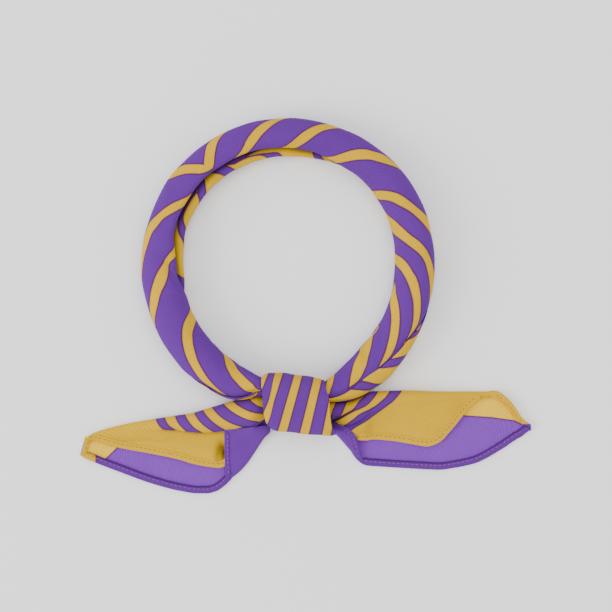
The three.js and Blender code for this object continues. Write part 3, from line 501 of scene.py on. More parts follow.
def make(name, points, faces, print_at, weave, wrong=0.0, painted_shade=0.0):
    """A mesh in metres. Attributes hold its print distance, its places on the cloth, how far it is the
    wrong side, and its painted shade."""
    mesh = bpy.data.meshes.new(name)
    points = np.asarray(points, float)
    faces = np.asarray(faces, int)
    mesh.vertices.add(len(points))
    mesh.vertices.foreach_set("co", ((points + SHIFT) * 0.001).ravel())
    mesh.loops.add(faces.size)
    mesh.loops.foreach_set("vertex_index", faces.ravel())
    mesh.polygons.add(len(faces))
    mesh.polygons.foreach_set("loop_start", np.arange(len(faces)) * faces.shape[1])
    mesh.polygons.foreach_set("loop_total", np.full(len(faces), faces.shape[1]))
    mesh.update(calc_edges=True)
    for key, values in (("print_mm", print_at), ("wrong_side", wrong), ("painted_shade", painted_shade)):
        layer = mesh.attributes.new(key, "FLOAT", "POINT")
        values = np.broadcast_to(np.asarray(values, float), (len(points),))
        layer.data.foreach_set("value", np.ascontiguousarray(values))
    layer = mesh.attributes.new("cloth_mm", "FLOAT_VECTOR", "POINT")
    cloth = np.zeros((len(points), 3))
    cloth[:, :2] = weave
    layer.data.foreach_set("vector", cloth.ravel())
    mesh.polygons.foreach_set("use_smooth", np.ones(len(faces), bool))
    mesh.validate()
    obj = bpy.data.objects.new(name, mesh)
    bpy.context.scene.collection.objects.link(obj)
    return obj


def grid_faces(n, m, closed=True):
    """Quads of a grid of n rows and m columns, closed in both directions or open."""
    i = np.arange(n if closed else n - 1)[:, None]
    j = np.arange(m if closed else m - 1)[None, :]
    a, b = i * m + j, ((i + 1) % n) * m + j
    c, d = ((i + 1) % n) * m + (j + 1) % m, i * m + (j + 1) % m
    return np.stack(np.broadcast_arrays(a, b, c, d), -1).reshape(-1, 4)


def grid_normals(rows):
    """Unit normals of a grid of points."""
    u = np.gradient(rows, axis=0)
    v = np.gradient(rows, axis=1)
    n = np.cross(u, v)
    return n / np.maximum(np.linalg.norm(n, axis=-1, keepdims=True), 1e-9)


def outward(points, faces):
    """The faces turned so that they look out of the closed body."""
    a, b, c = points[faces[:, 0]], points[faces[:, 1]], points[faces[:, 2]]
    d = points[faces[:, 3]]
    volume = (a * np.cross(b, c)).sum() + (a * np.cross(c, d)).sum()
    return faces if volume > 0 else faces[:, ::-1]


def cloth_layer(rows, thickness):
    """A layer of cloth round the grid of its middle, with rounded rims. Gives points, faces, and for
    each point its row, its column and whether it is on the side that the grid's normals leave."""
    n, m = rows.shape[:2]
    normal = grid_normals(rows)
    up, low = rows + normal * thickness / 2, rows - normal * thickness / 2
    ii, jj = np.meshgrid(np.arange(n), np.arange(m), indexing="ij")
    points = [up.reshape(-1, 3), low.reshape(-1, 3)]
    where = [np.stack([ii.ravel(), jj.ravel(), np.full(n * m, upper)], -1) for upper in (1.0, 0.0)]
    faces = [grid_faces(n, m, closed=False), grid_faces(n, m, closed=False)[:, ::-1] + n * m]
    loop = [(0, j) for j in range(m - 1)] + [(i, m - 1) for i in range(n - 1)]
    loop += [(n - 1, j) for j in range(m - 1, 0, -1)] + [(i, 0) for i in range(n - 1, 0, -1)]
    loop = np.array(loop)
    inner = rows[np.clip(loop[:, 0], 1, n - 2), np.clip(loop[:, 1], 1, m - 2)]
    edge, edge_normal = rows[loop[:, 0], loop[:, 1]], normal[loop[:, 0], loop[:, 1]]
    out = edge - inner
    out /= np.maximum(np.linalg.norm(out, axis=1, keepdims=True), 1e-9)
    previous = loop[:, 0] * m + loop[:, 1]
    k = len(loop)
    for r in range(1, RIM_LINES + 1):
        turn = math.pi * r / (RIM_LINES + 1)
        points.append(edge + (edge_normal * math.cos(turn) + out * math.sin(turn)) * thickness / 2)
        where.append(np.stack([loop[:, 0], loop[:, 1], np.full(k, 1.0 if r <= RIM_LINES / 2 else 0.0)], -1))
        current = 2 * n * m + (r - 1) * k + np.arange(k)
        faces.append(np.stack([previous, current, np.roll(current, -1), np.roll(previous, -1)], -1)[:, ::-1])
        previous = current
    last = n * m + loop[:, 0] * m + loop[:, 1]
    faces.append(np.stack([previous, last, np.roll(last, -1), np.roll(previous, -1)], -1)[:, ::-1])
    return np.vstack(points), np.vstack(faces), np.vstack(where)


def dent(u, v, start, end, width, depth):
    """Depth of a soft crease along a line on the unrolled cloth."""
    a, b = np.array(start, float), np.array(end, float)
    e = b - a
    t = np.clip(((u - a[0]) * e[0] + (v - a[1]) * e[1]) / max(e @ e, 1e-9), 0, 1)
    d2 = (u - a[0] - t * e[0]) ** 2 + (v - a[1] - t * e[1]) ** 2
    return depth * np.exp(-d2 / width**2)


ROLL_STEPS, SLOT_COLUMNS, OPEN_COLUMNS, LIP_COLUMNS = 660, 34, 90, 22
LIP_TUCK = 22.0  # degrees that the folded edge is turned in
WEAVE_RADIUS, WEAVE_LEAN = 66, 0.12  # the weave's own radius, and how far it leans round the roll
STRIP_REACH = (80, 217)  # angles between which the inner turn shows under the folded edge
LOW_REACH = (284, 47)  # angles between which the turn below the seam shows, over the knot


def winding(depth, lip, rise):
    """The roll's surface, from its folded edge once round to the lip and in under it: for each angle and
    column the degrees past the edge, how far it lies below the plain section, and if it is hidden."""
    columns = []
    for t in np.linspace(0, 1, SLOT_COLUMNS):
        columns.append((rise * t, (depth + LIP_GAP) * (1 - ease(t)) ** 1.15, 0))
    for t in np.linspace(0, 1, OPEN_COLUMNS)[1:-1]:
        columns.append((mix(rise, 360 - lip, t), 0 * depth, 0))
    for t in np.linspace(0, 1, LIP_COLUMNS):
        rounding = 1 - np.sqrt(np.clip(1 - (t * 0.985) ** 2, 0, 1))
        columns.append((360 - lip * (1 - t), 0.8 * depth * rounding, 0))
    tucked = ((0.12, 0.9 * depth), (0.6, 0.97 * depth), (1, depth + LIP_GAP / 2), (0.6, depth + LIP_GAP))
    for share, low in tucked:
        columns.append((360 - share * LIP_TUCK + 0 * depth, low, 1))
    past = np.stack([c[0] for c in columns], 1)
    deep = np.stack([c[1] for c in columns], 1)
    return past, deep, np.broadcast_to(np.array([c[2] for c in columns]), past.shape)


def roughness(u, v, turn, held):
    """Soft unevenness of wound cloth, gathers beside the knot and a few creases, in millimetres."""
    rough = 0.1 * np.sin(u / 7.1 + turn / 31) + 0.08 * np.sin(u / 3.9 - turn / 23 + 1.7)
    rough = rough + 0.06 * np.sin(u / 2.6 + turn / 14)
    rough = rough + 0.2 * held * np.sin(np.radians(turn) * 9 + 0.4)
    for first, last, wide, low in ROLL_CREASES:
        places, turns = to_roll(photo([first, last]))
        ends = np.stack([places * ROUND, turns * TURN], -1)
        rough = rough - dent(u, v, ends[0], ends[1], wide, low)
    return rough


def roll_print(around, edge, wrapped, past):
    """The print's distance on the open turn, on the turn that shows under the folded edge, and on the one
    below the seam beside the knot."""
    flat = np.stack([around * ROUND, wrapped * TURN], -1)
    value = inside_distance(flat, [band_between(a, b, p) for a, b, p in MAIN])
    strip = (around > STRIP_REACH[0]) & (around < STRIP_REACH[1]) & (wrapped > edge + 359) & (past < 200)
    value[strip] = inside_distance(flat[strip], [band_between(a, b, p, sunk=True) for a, b, p in STRIP])
    low = ((around > LOW_REACH[0]) | (around < LOW_REACH[1])) & (past > 180) & (wrapped < edge + 1)
    flat[:, 0] += np.where(around < 60, 360 * ROUND, 0)
    value[low] = inside_distance(flat[low], [band_between(a, b, p, over=60) for a, b, p in LOW])
    return value


def build_roll():
    """The rolled ring, with the slot under its folded edge."""
    angle = np.arange(ROLL_STEPS) * 360 / ROLL_STEPS
    s = roll_section(angle)
    edge, depth, lip, rise = (read(LAP, k, angle) for k in range(1, 5))
    past, deep, hidden = winding(depth, lip, rise)
    # painted shade in the slot under the folded edge: full for 15 degrees past the edge, gone by 34,
    # stronger where the slot is deeper, and full on the tucked cloth
    shaded = np.maximum(hidden, (1 - ease((past - 15) / 19)) * np.clip((depth - 1) / 5, 0, 1)[:, None])
    turn = edge[:, None] + past
    wrapped = (turn + 90) % 360 - 90
    around = np.broadcast_to(angle[:, None], past.shape)
    deep = deep - roughness(around * ROUND, wrapped * TURN, turn, s["held"][:, None])
    square = s["square"][:, None]
    side = power(np.cos(np.radians(turn)), square) * (s["half_width"][:, None] - deep)
    up = power(np.sin(np.radians(turn)), square) * (s["half_height"][:, None] - deep)
    x = s["x"][:, None] + s["away"][:, None, 0] * side
    y = s["y"][:, None] + s["away"][:, None, 1] * side
    z = np.maximum(s["z"][:, None] + up, 0.0)
    points = np.stack([x, y, z], -1).reshape(-1, 3)
    faces = outward(points, grid_faces(*past.shape))
    edges = np.broadcast_to(edge[:, None], past.shape)
    value = roll_print(around.ravel(), edges.ravel(), wrapped.ravel(), past.ravel())
    leaning = np.radians(around) * WEAVE_RADIUS + WEAVE_LEAN * wrapped * TURN
    weave = np.stack([leaning, turn * TURN], -1).reshape(-1, 2)
    obj = make("Neck_roll", points, faces, value, weave, painted_shade=shaded.ravel())
    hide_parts("neck_roll")


BAND_COLUMNS, OUTER_ROWS, RIM_ROWS, INNER_ROWS = 320, 120, 6, 16
RIM_BULGE = 0.45  # how far the band's rounded rims stand out


def build_band():
    """The turn of cloth round the roll, an open sleeve with rounded rims."""
    n = BAND_COLUMNS
    turn = np.arange(n) * 2 * math.pi / n
    across, up = power(np.cos(turn), KNOT_SQUARE), power(np.sin(turn), KNOT_SQUARE)
    place = (1 - across) / 2
    left = KNOT_X + KNOT_WIDTH * (read(BAND_RIMS, 1, place) - 0.5)
    right = KNOT_X + KNOT_WIDTH * (read(BAND_RIMS, 2, place) + 0.5)

    def ring(at, wall, push=0.0):
        top = KNOT_DEPTH / 2 * read(BAND, 1, at) - wall
        bottom = KNOT_DEPTH / 2 * read(BAND, 2, at) + wall
        half = KNOT_HALF * read(BAND, 3, at) - wall
        ripple = 0.16 * np.exp(-np.minimum(at, 1 - at) * 9) * np.sin(9 * turn + 1.1)
        ripple = ripple + 0.1 * np.sin(3 * turn + at * 9) + 0.07 * np.sin(5 * turn - 14 * at)
        y = KNOT_Y + (top + bottom) / 2 + across * ((top - bottom) / 2 + ripple)
        z = np.maximum(KNOT_Z + up * (half + ripple), wall * 0.4)
        return np.stack([mix(left, right, at) + push, y, z], -1)

    def rim(at, way):
        turns = math.pi * np.arange(1, RIM_ROWS + 1) / (RIM_ROWS + 1)
        walls = KNOT_WALL * (1 - way * np.cos(turns)) / 2
        return [ring(at, wall, way * RIM_BULGE * math.sin(t)) for wall, t in zip(walls, turns)]

    rows = [ring(at, 0.0) for at in ease(np.linspace(0, 1, OUTER_ROWS))] + rim(1.0, 1)
    rows += [ring(at, KNOT_WALL) for at in np.linspace(1, 0, INNER_ROWS)] + rim(0.0, -1)
    rows = np.stack(rows)
    m = rows.shape[0]
    points = rows.reshape(-1, 3)
    faces = outward(points, grid_faces(m, n))
    middle = rows[OUTER_ROWS // 2]
    step = np.linalg.norm(middle - np.roll(middle, 1, axis=0), axis=1)
    arc = np.cumsum(step)
    arc = arc - arc[n // 4]  # from the top's middle, and on towards the ring's middle
    arc = np.where(arc > arc.max() / 2 + 30, arc - step.sum(), arc)
    down = np.where(turn < math.pi, place, 2 - place)  # 0 at the top edge, 1 at the lower one, and on below
    down = np.where(turn > 1.5 * math.pi, -place, down)[None, :]
    first, pitch, gold = (mix(*BAND_STRIPES[:, k], down) for k in (1, 2, 3))
    bent = BAND_SQUEEZE * ease((BAND_SQUEEZE_FROM - rows[..., 0]) / 3.7) * np.clip(1 - down, 0, 1)
    off = ((rows[..., 0] - first) / pitch - bent + 0.5) % 1 - 0.5
    value = gold / 2 - np.abs(off) * pitch
    inner = np.zeros(m)
    inner[OUTER_ROWS + RIM_ROWS // 2:OUTER_ROWS + RIM_ROWS + INNER_ROWS] = 1
    weave = np.stack([rows[..., 0], np.broadcast_to(arc[None, :], (m, n))], -1).reshape(-1, 2)
    obj = make("Knot_band", points, faces, value.ravel(), weave, wrong=np.repeat(inner, n))
    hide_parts("knot_band")


# The tails.

ROLL_NEAR = 0.8  # share of the neck's radius within which a tail keeps clear of the roll
TAIL_STEPS = 220
TAIL_SHARES = ("lean", "top", "pleat", "front", "back", "height", "swell", "crease", "root")
# Columns between the points of a tail's section, which are counted as places from 0 to 13.
SECTION_COLUMNS = (26, 18, 12, 12, 12, 12, 14, 16, 10, 10, 16, 26, 30)
BACK_PLY, UNDER_END, BACKING_END, PAST_PLEAT, FRONT_PLY = 1.0, 3, 4.5, 9, 9.2
# Places in a tail's section, and how freely the cloth waves there.
LOOSE = np.array([(0, 1), (2, 1), (3, 0), (9, 0), (10.5, 0.6), (13, 1)])


def roll_outer(x):
    """Where the roll's outer side lies at a place across, on the side of the knot."""
    reach = NECK_RADIUS + ROLL_WIDTH
    angle = np.degrees(np.arcsin(np.clip(-x / reach, -0.95, 0.95))) % 360
    for _ in range(14):
        s = roll_section(angle)
        outer = s["x"] + s["away"][..., 0] * s["half_width"]
        angle = (angle + np.degrees((outer - x) / reach) * 0.9) % 360
    s = roll_section(angle)
    return s["y"] + s["away"][..., 1] * s["half_width"]


def left_wave(x, y, place):
    """Soft waves of the left tail's plies, in millimetres."""
    front = 0.2 * np.sin(x / 5.3 + y / 9) + 0.12 * np.sin(x / 3.1 - y / 4 + 1)
    return np.where(place > PAST_PLEAT, front, 0.12 * (1 + np.sin(x / 7 + y / 5)))


def right_wave(x, y, place):
    """Soft waves of the right tail's plies, in millimetres."""
    front = 0.3 * np.sin(x / 7.3 - y / 6 + 0.5) + 0.2 * np.sin(x / 3.7 + y / 5)
    return np.where(place > PAST_PLEAT, front, 0.12 * (1 + np.sin(x / 6 - y / 4)))


TAILS = {
    "left": dict(table=LEFT_TAIL, flap=LEFT_FLAP, wave=left_wave, tuck=1.0, along=0.098,
                 start=KNOT_X - KNOT_WIDTH / 2 - 0.3, length=-LEFT_LENGTH),
    "right": dict(table=RIGHT_TAIL, flap=RIGHT_FLAP, wave=right_wave, tuck=0.8, along=0.108,
                  start=KNOT_X + KNOT_WIDTH / 2, length=RIGHT_LENGTH),
}


def tail_shape(tail):
    """The measures of a tail's section from its root to its tip, in millimetres: heights of the back ply,
    the front ply and the fold, and how far down the fold, the crease and the free edges lie."""
    at = np.linspace(tail["table"][0, 0], tail["table"][-1, 0], TAIL_STEPS)
    share = {key: read(tail["table"], k, at) for k, key in enumerate(TAIL_SHARES, 1)}
    x = tail["start"] + tail["length"] * at
    base = THIN / 2 + 0.15 + share["root"] * (KNOT_WALL + 4.4 * CLEARANCE)
    top = np.maximum(base + CLOTH + LAYER_GAP, TAIL_HEIGHT * share["height"] - CLOTH / 2)
    rest = base + CLOTH * 0.75 + LAYER_GAP
    rise = np.maximum(top - rest, 0)
    bend = (top - base) / 2
    beside_roll = KNOT_Y - roll_outer(x) + THIN / 2 + 0.1
    clear = np.where(np.abs(x) < ROLL_NEAR * NECK_RADIUS, beside_roll, -TAIL_DROP)
    fold = np.maximum(TAIL_DROP * share["top"] + THIN / 2, clear)
    back = np.maximum(TAIL_DROP * share["back"] - THIN / 2, fold + bend + 2)
    pleat = np.maximum(TAIL_DROP * share["pleat"], fold + 1.7 * bend)
    front = np.maximum(TAIL_DROP * share["front"] - THIN / 2, pleat + FRONT_RUN)
    swell = rest + rise * share["swell"]
    crease = np.maximum(swell - top * share["crease"], rest + 0.1 * rise)
    skew = tail["length"] * share["lean"] / np.maximum(back - fold, 1)
    return dict(at=at, share=share, x=x, base=base, top=top, rest=rest, bend=bend, fold=fold, back=back,
                pleat=pleat, front=front, swell=swell, crease=crease, skew=skew)


def section_points(shape, most_tuck):
    """Points of a tail's section, from the back ply's free edge round the fold to the front ply's: how
    far down each lies and how high. The front ply is creased, or slopes plainly where it isn't."""
    base, rest, top, bend = (shape[key] for key in ("base", "rest", "top", "bend"))
    fold, back, pleat, front = (shape[key] for key in ("fold", "back", "pleat", "front"))
    swell, crease, share = (shape[key] for key in ("swell", "crease", "share"))
    knee = np.minimum(fold + bend, mix(fold, back, 0.6))
    tuck = most_tuck * np.clip(share["crease"] / 0.2, 0, 1)
    points = [
        (back, base), (mix(back, knee, 0.5), base), (knee, base), (fold + 0.3 * bend, base + 0.28 * bend),
        (fold, base + bend), (fold + 0.3 * bend, top - 0.28 * bend)]
    creased = [
        (mix(fold + bend, pleat, 0.2), top),
        (mix(fold + bend, pleat, 0.65), mix(crease, top, 0.82)),
        (pleat + 0.55 * tuck, mix(crease, top, 0.3) + 0.25 * tuck),
        (pleat - 0.5 * tuck, crease + 0.1 * tuck),
        (mix(pleat, front, 0.12) + 0.3 * tuck, mix(rest, swell, 0.9) - 0.4 * tuck),
        (mix(pleat, front, 0.35), mix(rest, swell, 0.92)),
        (mix(pleat, front, 0.68), mix(rest, swell, 0.5)),
        (front, rest)]
    for down, high in creased:
        t = np.clip((down - fold - bend) / np.maximum(front - fold - bend, 1), 0, 1)
        plain = rest + (top - rest) * (1 - t) ** (0.75 + 0.9 * share["swell"]) * (1 - 0.25 * t)
        points.append((down, mix(plain, high, ease(share["crease"] / 0.13))))
    return [np.stack([point[k] for point in points], 1) for k in (0, 1)]


def through_points(down, high):
    """A smooth curve through the points of each section: the place of each column, and how far down it
    lies and how high."""
    apart = np.maximum(np.hypot(np.diff(down, axis=1), np.diff(high, axis=1)), 1e-6)
    before, after = apart[:, :-1], apart[:, 1:]
    last = len(SECTION_COLUMNS) - 1
    steps = [np.linspace(0, 1, count, endpoint=(k == last)) for k, count in enumerate(SECTION_COLUMNS)]
    curves = []
    for values in (down, high):
        slope = np.diff(values, axis=1) / apart
        inner = (slope[:, 1:] * before + slope[:, :-1] * after) / (before + after)
        slopes = np.hstack([slope[:, :1], inner, slope[:, -1:]])
        start, end = slopes[:, :-1] * apart, slopes[:, 1:] * apart
        curves.append(np.hstack([
            hermite(values[:, k, None], values[:, k + 1, None], start[:, k, None], end[:, k, None], t)
            for k, t in enumerate(steps)]))
    place = np.concatenate([k + t for k, t in enumerate(steps)])
    return place, curves[0], curves[1]


def pocketed(x, y, z, rest):
    """The front ply's height with the hollow beside the left flap pressed into it."""
    near = ((x - POCKET["x"]) / POCKET["wide"]) ** 2 + ((y - POCKET["y"]) / POCKET["tall"]) ** 2
    hollow = POCKET["deep"] * np.exp(-near) * ease((POCKET["edge"] - x) / 0.8)
    return np.maximum(z - hollow, np.minimum(z, rest))


def tail_rows(side):
    """The middle of the cloth of a tail as a grid, the place in the section of each column, and the
    tail's measures."""
    tail = TAILS[side]
    shape = tail_shape(tail)
    place, down, high = through_points(*section_points(shape, tail["tuck"]))
    x = shape["x"][:, None] + shape["skew"][:, None] * (down - shape["fold"][:, None])
    y = KNOT_Y - down
    loose = np.interp(place, LOOSE[:, 0], LOOSE[:, 1]) * np.clip(1 - shape["share"]["root"], 0, 1)[:, None]
    z = np.maximum(high + loose * tail["wave"](x, y, place), THIN / 2 + 0.02)
    if side == "left":
        z = np.where(place > PAST_PLEAT, pocketed(x, y, z, shape["rest"][:, None]), z)
    return np.stack([x, y, z], -1), place, shape


def lengths(line):
    """Millimetres along a line, from its first point to each."""
    return np.concatenate([[0], np.cumsum(np.linalg.norm(np.diff(line, axis=0), axis=1))])


def arc_place(rows):
    """Millimetres along and across the cloth of a grid."""
    along = np.cumsum(np.linalg.norm(np.diff(rows, axis=0), axis=2), axis=0)
    across = np.cumsum(np.linalg.norm(np.diff(rows, axis=1), axis=2), axis=1)
    return np.pad(along, ((1, 0), (0, 0))), np.pad(across, ((0, 0), (1, 0)))


def tail_print(side, plan, place, outer):
    """The print's distance on a tail: stripes on the front, plain slanting ones underneath, and the wrong
    side's gold corner."""
    cells = TAIL_PRINT[side]
    value = np.full(len(plan), GOLDEN)
    striped = outer & (place > UNDER_END)
    value[striped] = -inside_distance(plan[striped], [smooth_line(photo(c), 1) for c in cells["stripes"]])
    if side == "left":
        front = outer & (place > FRONT_PLY)
        value[front] = np.where(plan[front, 0] < POCKET["edge"] + 1.5, GOLDEN, VIOLET)
    else:
        knob = (plan[:, 0] > KNOB_FROM) & ((plan[:, 1] < KNOB_BELOW) | (plan[:, 0] > KNOB_END))
        value[knob] = VIOLET
    under = outer & (place <= UNDER_END)
    slant = (plan[under, 0] + UNDER_SLANT * plan[under, 1]) / UNDER_PITCH
    value[under] = UNDER_GOLD / 2 - np.abs((slant + 0.5) % 1 - 0.5) * UNDER_PITCH
    backing = ~outer & (place < BACKING_END)
    value[backing] = inside_distance(plan[backing], [photo(cells["gold"])])
    return np.clip(value, -6, 6)


def tail_shade(side, plan, place):
    """Painted shade beside the knot: in the left tail's hollow, and along the right tail's dark fold."""
    if side == "left":
        away = np.hypot((plan[:, 0] - POCKET["x"] - 1.2) / 2.9, (plan[:, 1] - POCKET["y"]) / 5.6)
        return np.where(place > FRONT_PLY, 0.95 * np.exp(-(away**2)), 0.0)
    low, high = photo(CREASE)
    long = np.linalg.norm(high - low)
    along = (plan - low) @ ((high - low) / long) / long
    beside = (plan - low) @ (np.array([low[1] - high[1], high[0] - low[0]]) / long)
    reach = np.exp(-((beside / 0.8) ** 2)) * np.clip(1.3 - along, 0, 1)
    return np.where(place > UNDER_END, 0.8 * reach, 0.0)


def build_tail(side):
    """The cloth of a tail. Gives its rows, the places in its section, its measures and a tree of it."""
    rows, place, shape = tail_rows(side)
    back_ply = int(np.searchsorted(place, BACK_PLY))
    flip = grid_normals(rows)[len(rows) // 2, back_ply, 2] > 0  # there the outer side looks down
    points, faces, where = cloth_layer(rows[::-1] if flip else rows, THIN)
    faces = outward(points, faces)
    i, j = where[:, 0].astype(int), where[:, 1].astype(int)
    i = len(rows) - 1 - i if flip else i
    outer = where[:, 2] > 0.5
    value = tail_print(side, points[:, :2], place[j], outer)
    # painted shade on the outer side: in the left tail's hollow, along the right tail's fold
    shade = np.where(outer, tail_shade(side, points[:, :2], place[j]), 0.0)
    a, b = arc_place(rows)
    weave = np.stack([a[i, j], b[i, j]], -1)
    obj = make(side.capitalize() + "_tail", points, faces, value, weave, wrong=~outer, painted_shade=shade)
    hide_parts(side + "_tail")
    tree = BVHTree.FromPolygons([tuple(p) for p in points], [tuple(int(q) for q in f) for f in faces])
    return dict(rows=rows, place=place, shape=shape, tree=tree)


# Hems, stitches and flaps.

STRIP_END = 2.6  # millimetres over which a hem narrows at its ends
STRIP_COLUMNS, MIDDLE_COLUMN, SEAM_COLUMN = 9, 4, 5
RIM_SHADE = 0.45  # width of the painted shadow line at the folded rim of a hem
HEM_STEP = 0.7  # millimetres between the rows of a hem
# Of a stitch, from one end to the other: share of its length, of its width and of its height.
STITCH = ((0, 0.35, 0.0), (0.2, 0.9, 0.75), (0.5, 1, 1), (0.8, 0.9, 0.75), (1, 0.35, 0.0))
STITCH_PITCH, STITCH_LENGTH, STITCH_WIDTH, STITCH_HEIGHT, STITCH_SINK = 2.5, 1.6, 0.46, 0.16, 0.08
# Kinds of hems: thickness, lift above the cloth, colour of the stitches, painted shade at the folded rim.
FRONT_HEM = dict(thickness=0.3, lift=0.0, thread="gold", rim=0.0)
BACK_HEM = dict(thickness=0.8, lift=0.12, thread="violet", rim=0.6)
TIP_HEM = dict(thickness=0.45, lift=0.12, thread="gold", rim=0.0)
CORNER_HEM = dict(thickness=0.3, lift=0.0, thread="violet", rim=0.0)


def top_at(trees, x, y):
    """The height of the highest cloth at a place, or of the floor."""
    best = 0.0
    for tree in trees:
        hit = tree.ray_cast(Vector((float(x), float(y), 60.0)), Vector((0, 0, -1)))
        if hit[0] is not None:
            best = max(best, hit[0].z)
    return best


def strip_rows(trees, line, lift, thickness):
    """A strip of cloth beside a line, on what is below it: its middle, as a grid. Each row of the line
    is a place seen from above and the strip's width there."""
    line, width = np.asarray(line, float)[:, :2], np.asarray(line, float)[:, 2]
    run = np.gradient(line, axis=0)
    run /= np.maximum(np.linalg.norm(run, axis=1, keepdims=True), 1e-9)
    inward = np.stack([run[:, 1], -run[:, 0]], -1)
    long = lengths(line)
    end = np.minimum(long, long[-1] - long) / STRIP_END
    full = 0.3 + 0.7 * np.sqrt(1 - (1 - np.clip(end, 0, 1)) ** 2)
    places = np.linspace(0, 1, STRIP_COLUMNS)
    rows = np.zeros((len(line), STRIP_COLUMNS, 3))
    aside = width[:, None] * places * full[:, None]
    rows[:, :, :2] = line[:, None, :] + inward[:, None, :] * aside[..., None]
    z = np.array([[top_at(trees, x, y) for x, y, _ in row] for row in rows])
    z = np.maximum(z, np.median(z, axis=1)[:, None] - 0.2)
    for _ in range(4):
        pad = np.pad(z, ((1, 1), (0, 0)), mode="edge")
        z = (pad[:-2] + 2 * pad[1:-1] + pad[2:]) / 4
    crown = np.sin(places * math.pi) * 0.1
    rows[:, :, 2] = z + lift + thickness / 2 + crown
    return rows


def resample(line, step):
    """The line with points at even distances, about a step apart."""
    line = np.asarray(line, float)
    long = lengths(line)
    count = max(int(round(long[-1] / step)), 2)
    at = np.linspace(0, long[-1], count + 1)
    return np.stack([np.interp(at, long, line[:, k]) for k in range(line.shape[1])], -1)


def build_strip(name, rows, paint, thickness, node_name, wrong=0.0, rim=0.0):
    """A narrow sheet that lies on another. Its paint is a number or a function of the
    places seen from above."""
    points, faces, where = cloth_layer(rows, thickness)
    faces = outward(points, faces)
    a, b = arc_place(rows)
    i, j = where[:, 0].astype(int), where[:, 1].astype(int)
    value = paint(points[:, :2]) if callable(paint) else paint
    # painted shadow line along the hem's folded rim, as dark as rim
    from_rim = (1 - j / (rows.shape[1] - 1)) * b[:, -1].mean()
    shade = rim * np.exp(-((from_rim / RIM_SHADE) ** 2))
    obj = make(name, points, faces, value, np.stack([a[i, j], b[i, j]], -1), wrong=wrong, painted_shade=shade)
    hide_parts(node_name)
    return obj


def tree_of(obj):
    """A tree of a piece in the ring's frame, to find its height at a place."""
    corners = [tuple(v.co * 1000 - Vector(SHIFT)) for v in obj.data.vertices]
    return BVHTree.FromPolygons(corners, [tuple(p.vertices) for p in obj.data.polygons])


def stitch_section(line, long, at, wide, high):
    """The four corners of a stitch's section at a distance along the line."""
    here, ahead = (np.array([np.interp(d, long, line[:, k]) for k in range(3)]) for d in (at, at + 0.1))
    run = (ahead - here) * (1, 1, 0)
    run /= max(np.linalg.norm(run), 1e-9)
    beside = np.array([run[1], -run[0], 0]) * STITCH_WIDTH / 2 * wide
    raised, sunk = np.array([0, 0, STITCH_HEIGHT * high]), np.array([0, 0, STITCH_SINK])
    return [here + beside, here + raised, here - beside, here - sunk]


def stitches(name, line, colour):
    """A row of stitches along a line in space, one small raised dash each."""
    line = resample(line, 0.2)
    long = lengths(line)
    points, faces = [], []
    for q in range(int((long[-1] - STITCH_LENGTH) / STITCH_PITCH) + 1):
        start = q * STITCH_PITCH + 0.12 * math.sin(q * 2.7)
        base = len(points)
        for share, wide, high in STITCH:
            points.extend(stitch_section(line, long, start + share * STITCH_LENGTH, wide, high))
        for k in range(len(STITCH) - 1):
            for e in range(4):
                a, b = base + k * 4 + e, base + k * 4 + (e + 1) % 4
                faces.append((a, b, b + 4, a + 4))
        faces.append((base + 3, base + 2, base + 1, base))
        faces.append((base + 16, base + 17, base + 18, base + 19))
    points, faces = np.array(points), np.array(faces)
    obj = make(name, points, outward(points, faces), 0.0, points[:, :2])
    obj["thread"] = colour
    return obj


def edge_line(shape, which, low, high, inset, width=HEM_WIDTH):
    """Places along a free edge, and the width that a hem has there: never more than the cloth's own."""
    keep = (shape["at"] >= low) & (shape["at"] <= high)
    fold = shape["fold"][keep]
    down = shape[which][keep] - inset
    x = shape["x"][keep] + shape["skew"][keep] * (down - fold)
    wide = np.full(len(x), width) if which == "fold" else np.clip(0.8 * (down - fold), 0.6, width)
    return np.stack([x, KNOT_Y - down, wide], -1)


FLAP_STEPS, FLAP_COLUMNS, DRAPE_ROUNDS = 90, 60, 900
FLAP_FLAT, FLAP_EDGE, FLAP_BULGE = 0.78, 1.9, 1.6  # share that lies flat, and the turned edge's reach


def draped(below):
    """A smooth height over what lies below, never under it."""
    z = below.copy()
    for _ in range(DRAPE_ROUNDS):
        pad = np.pad(z, 1, mode="edge")
        z = (pad[:-2, 1:-1] + pad[2:, 1:-1] + pad[1:-1, :-2] + pad[1:-1, 2:]) / 4
        z = np.maximum(z, below)
    return z


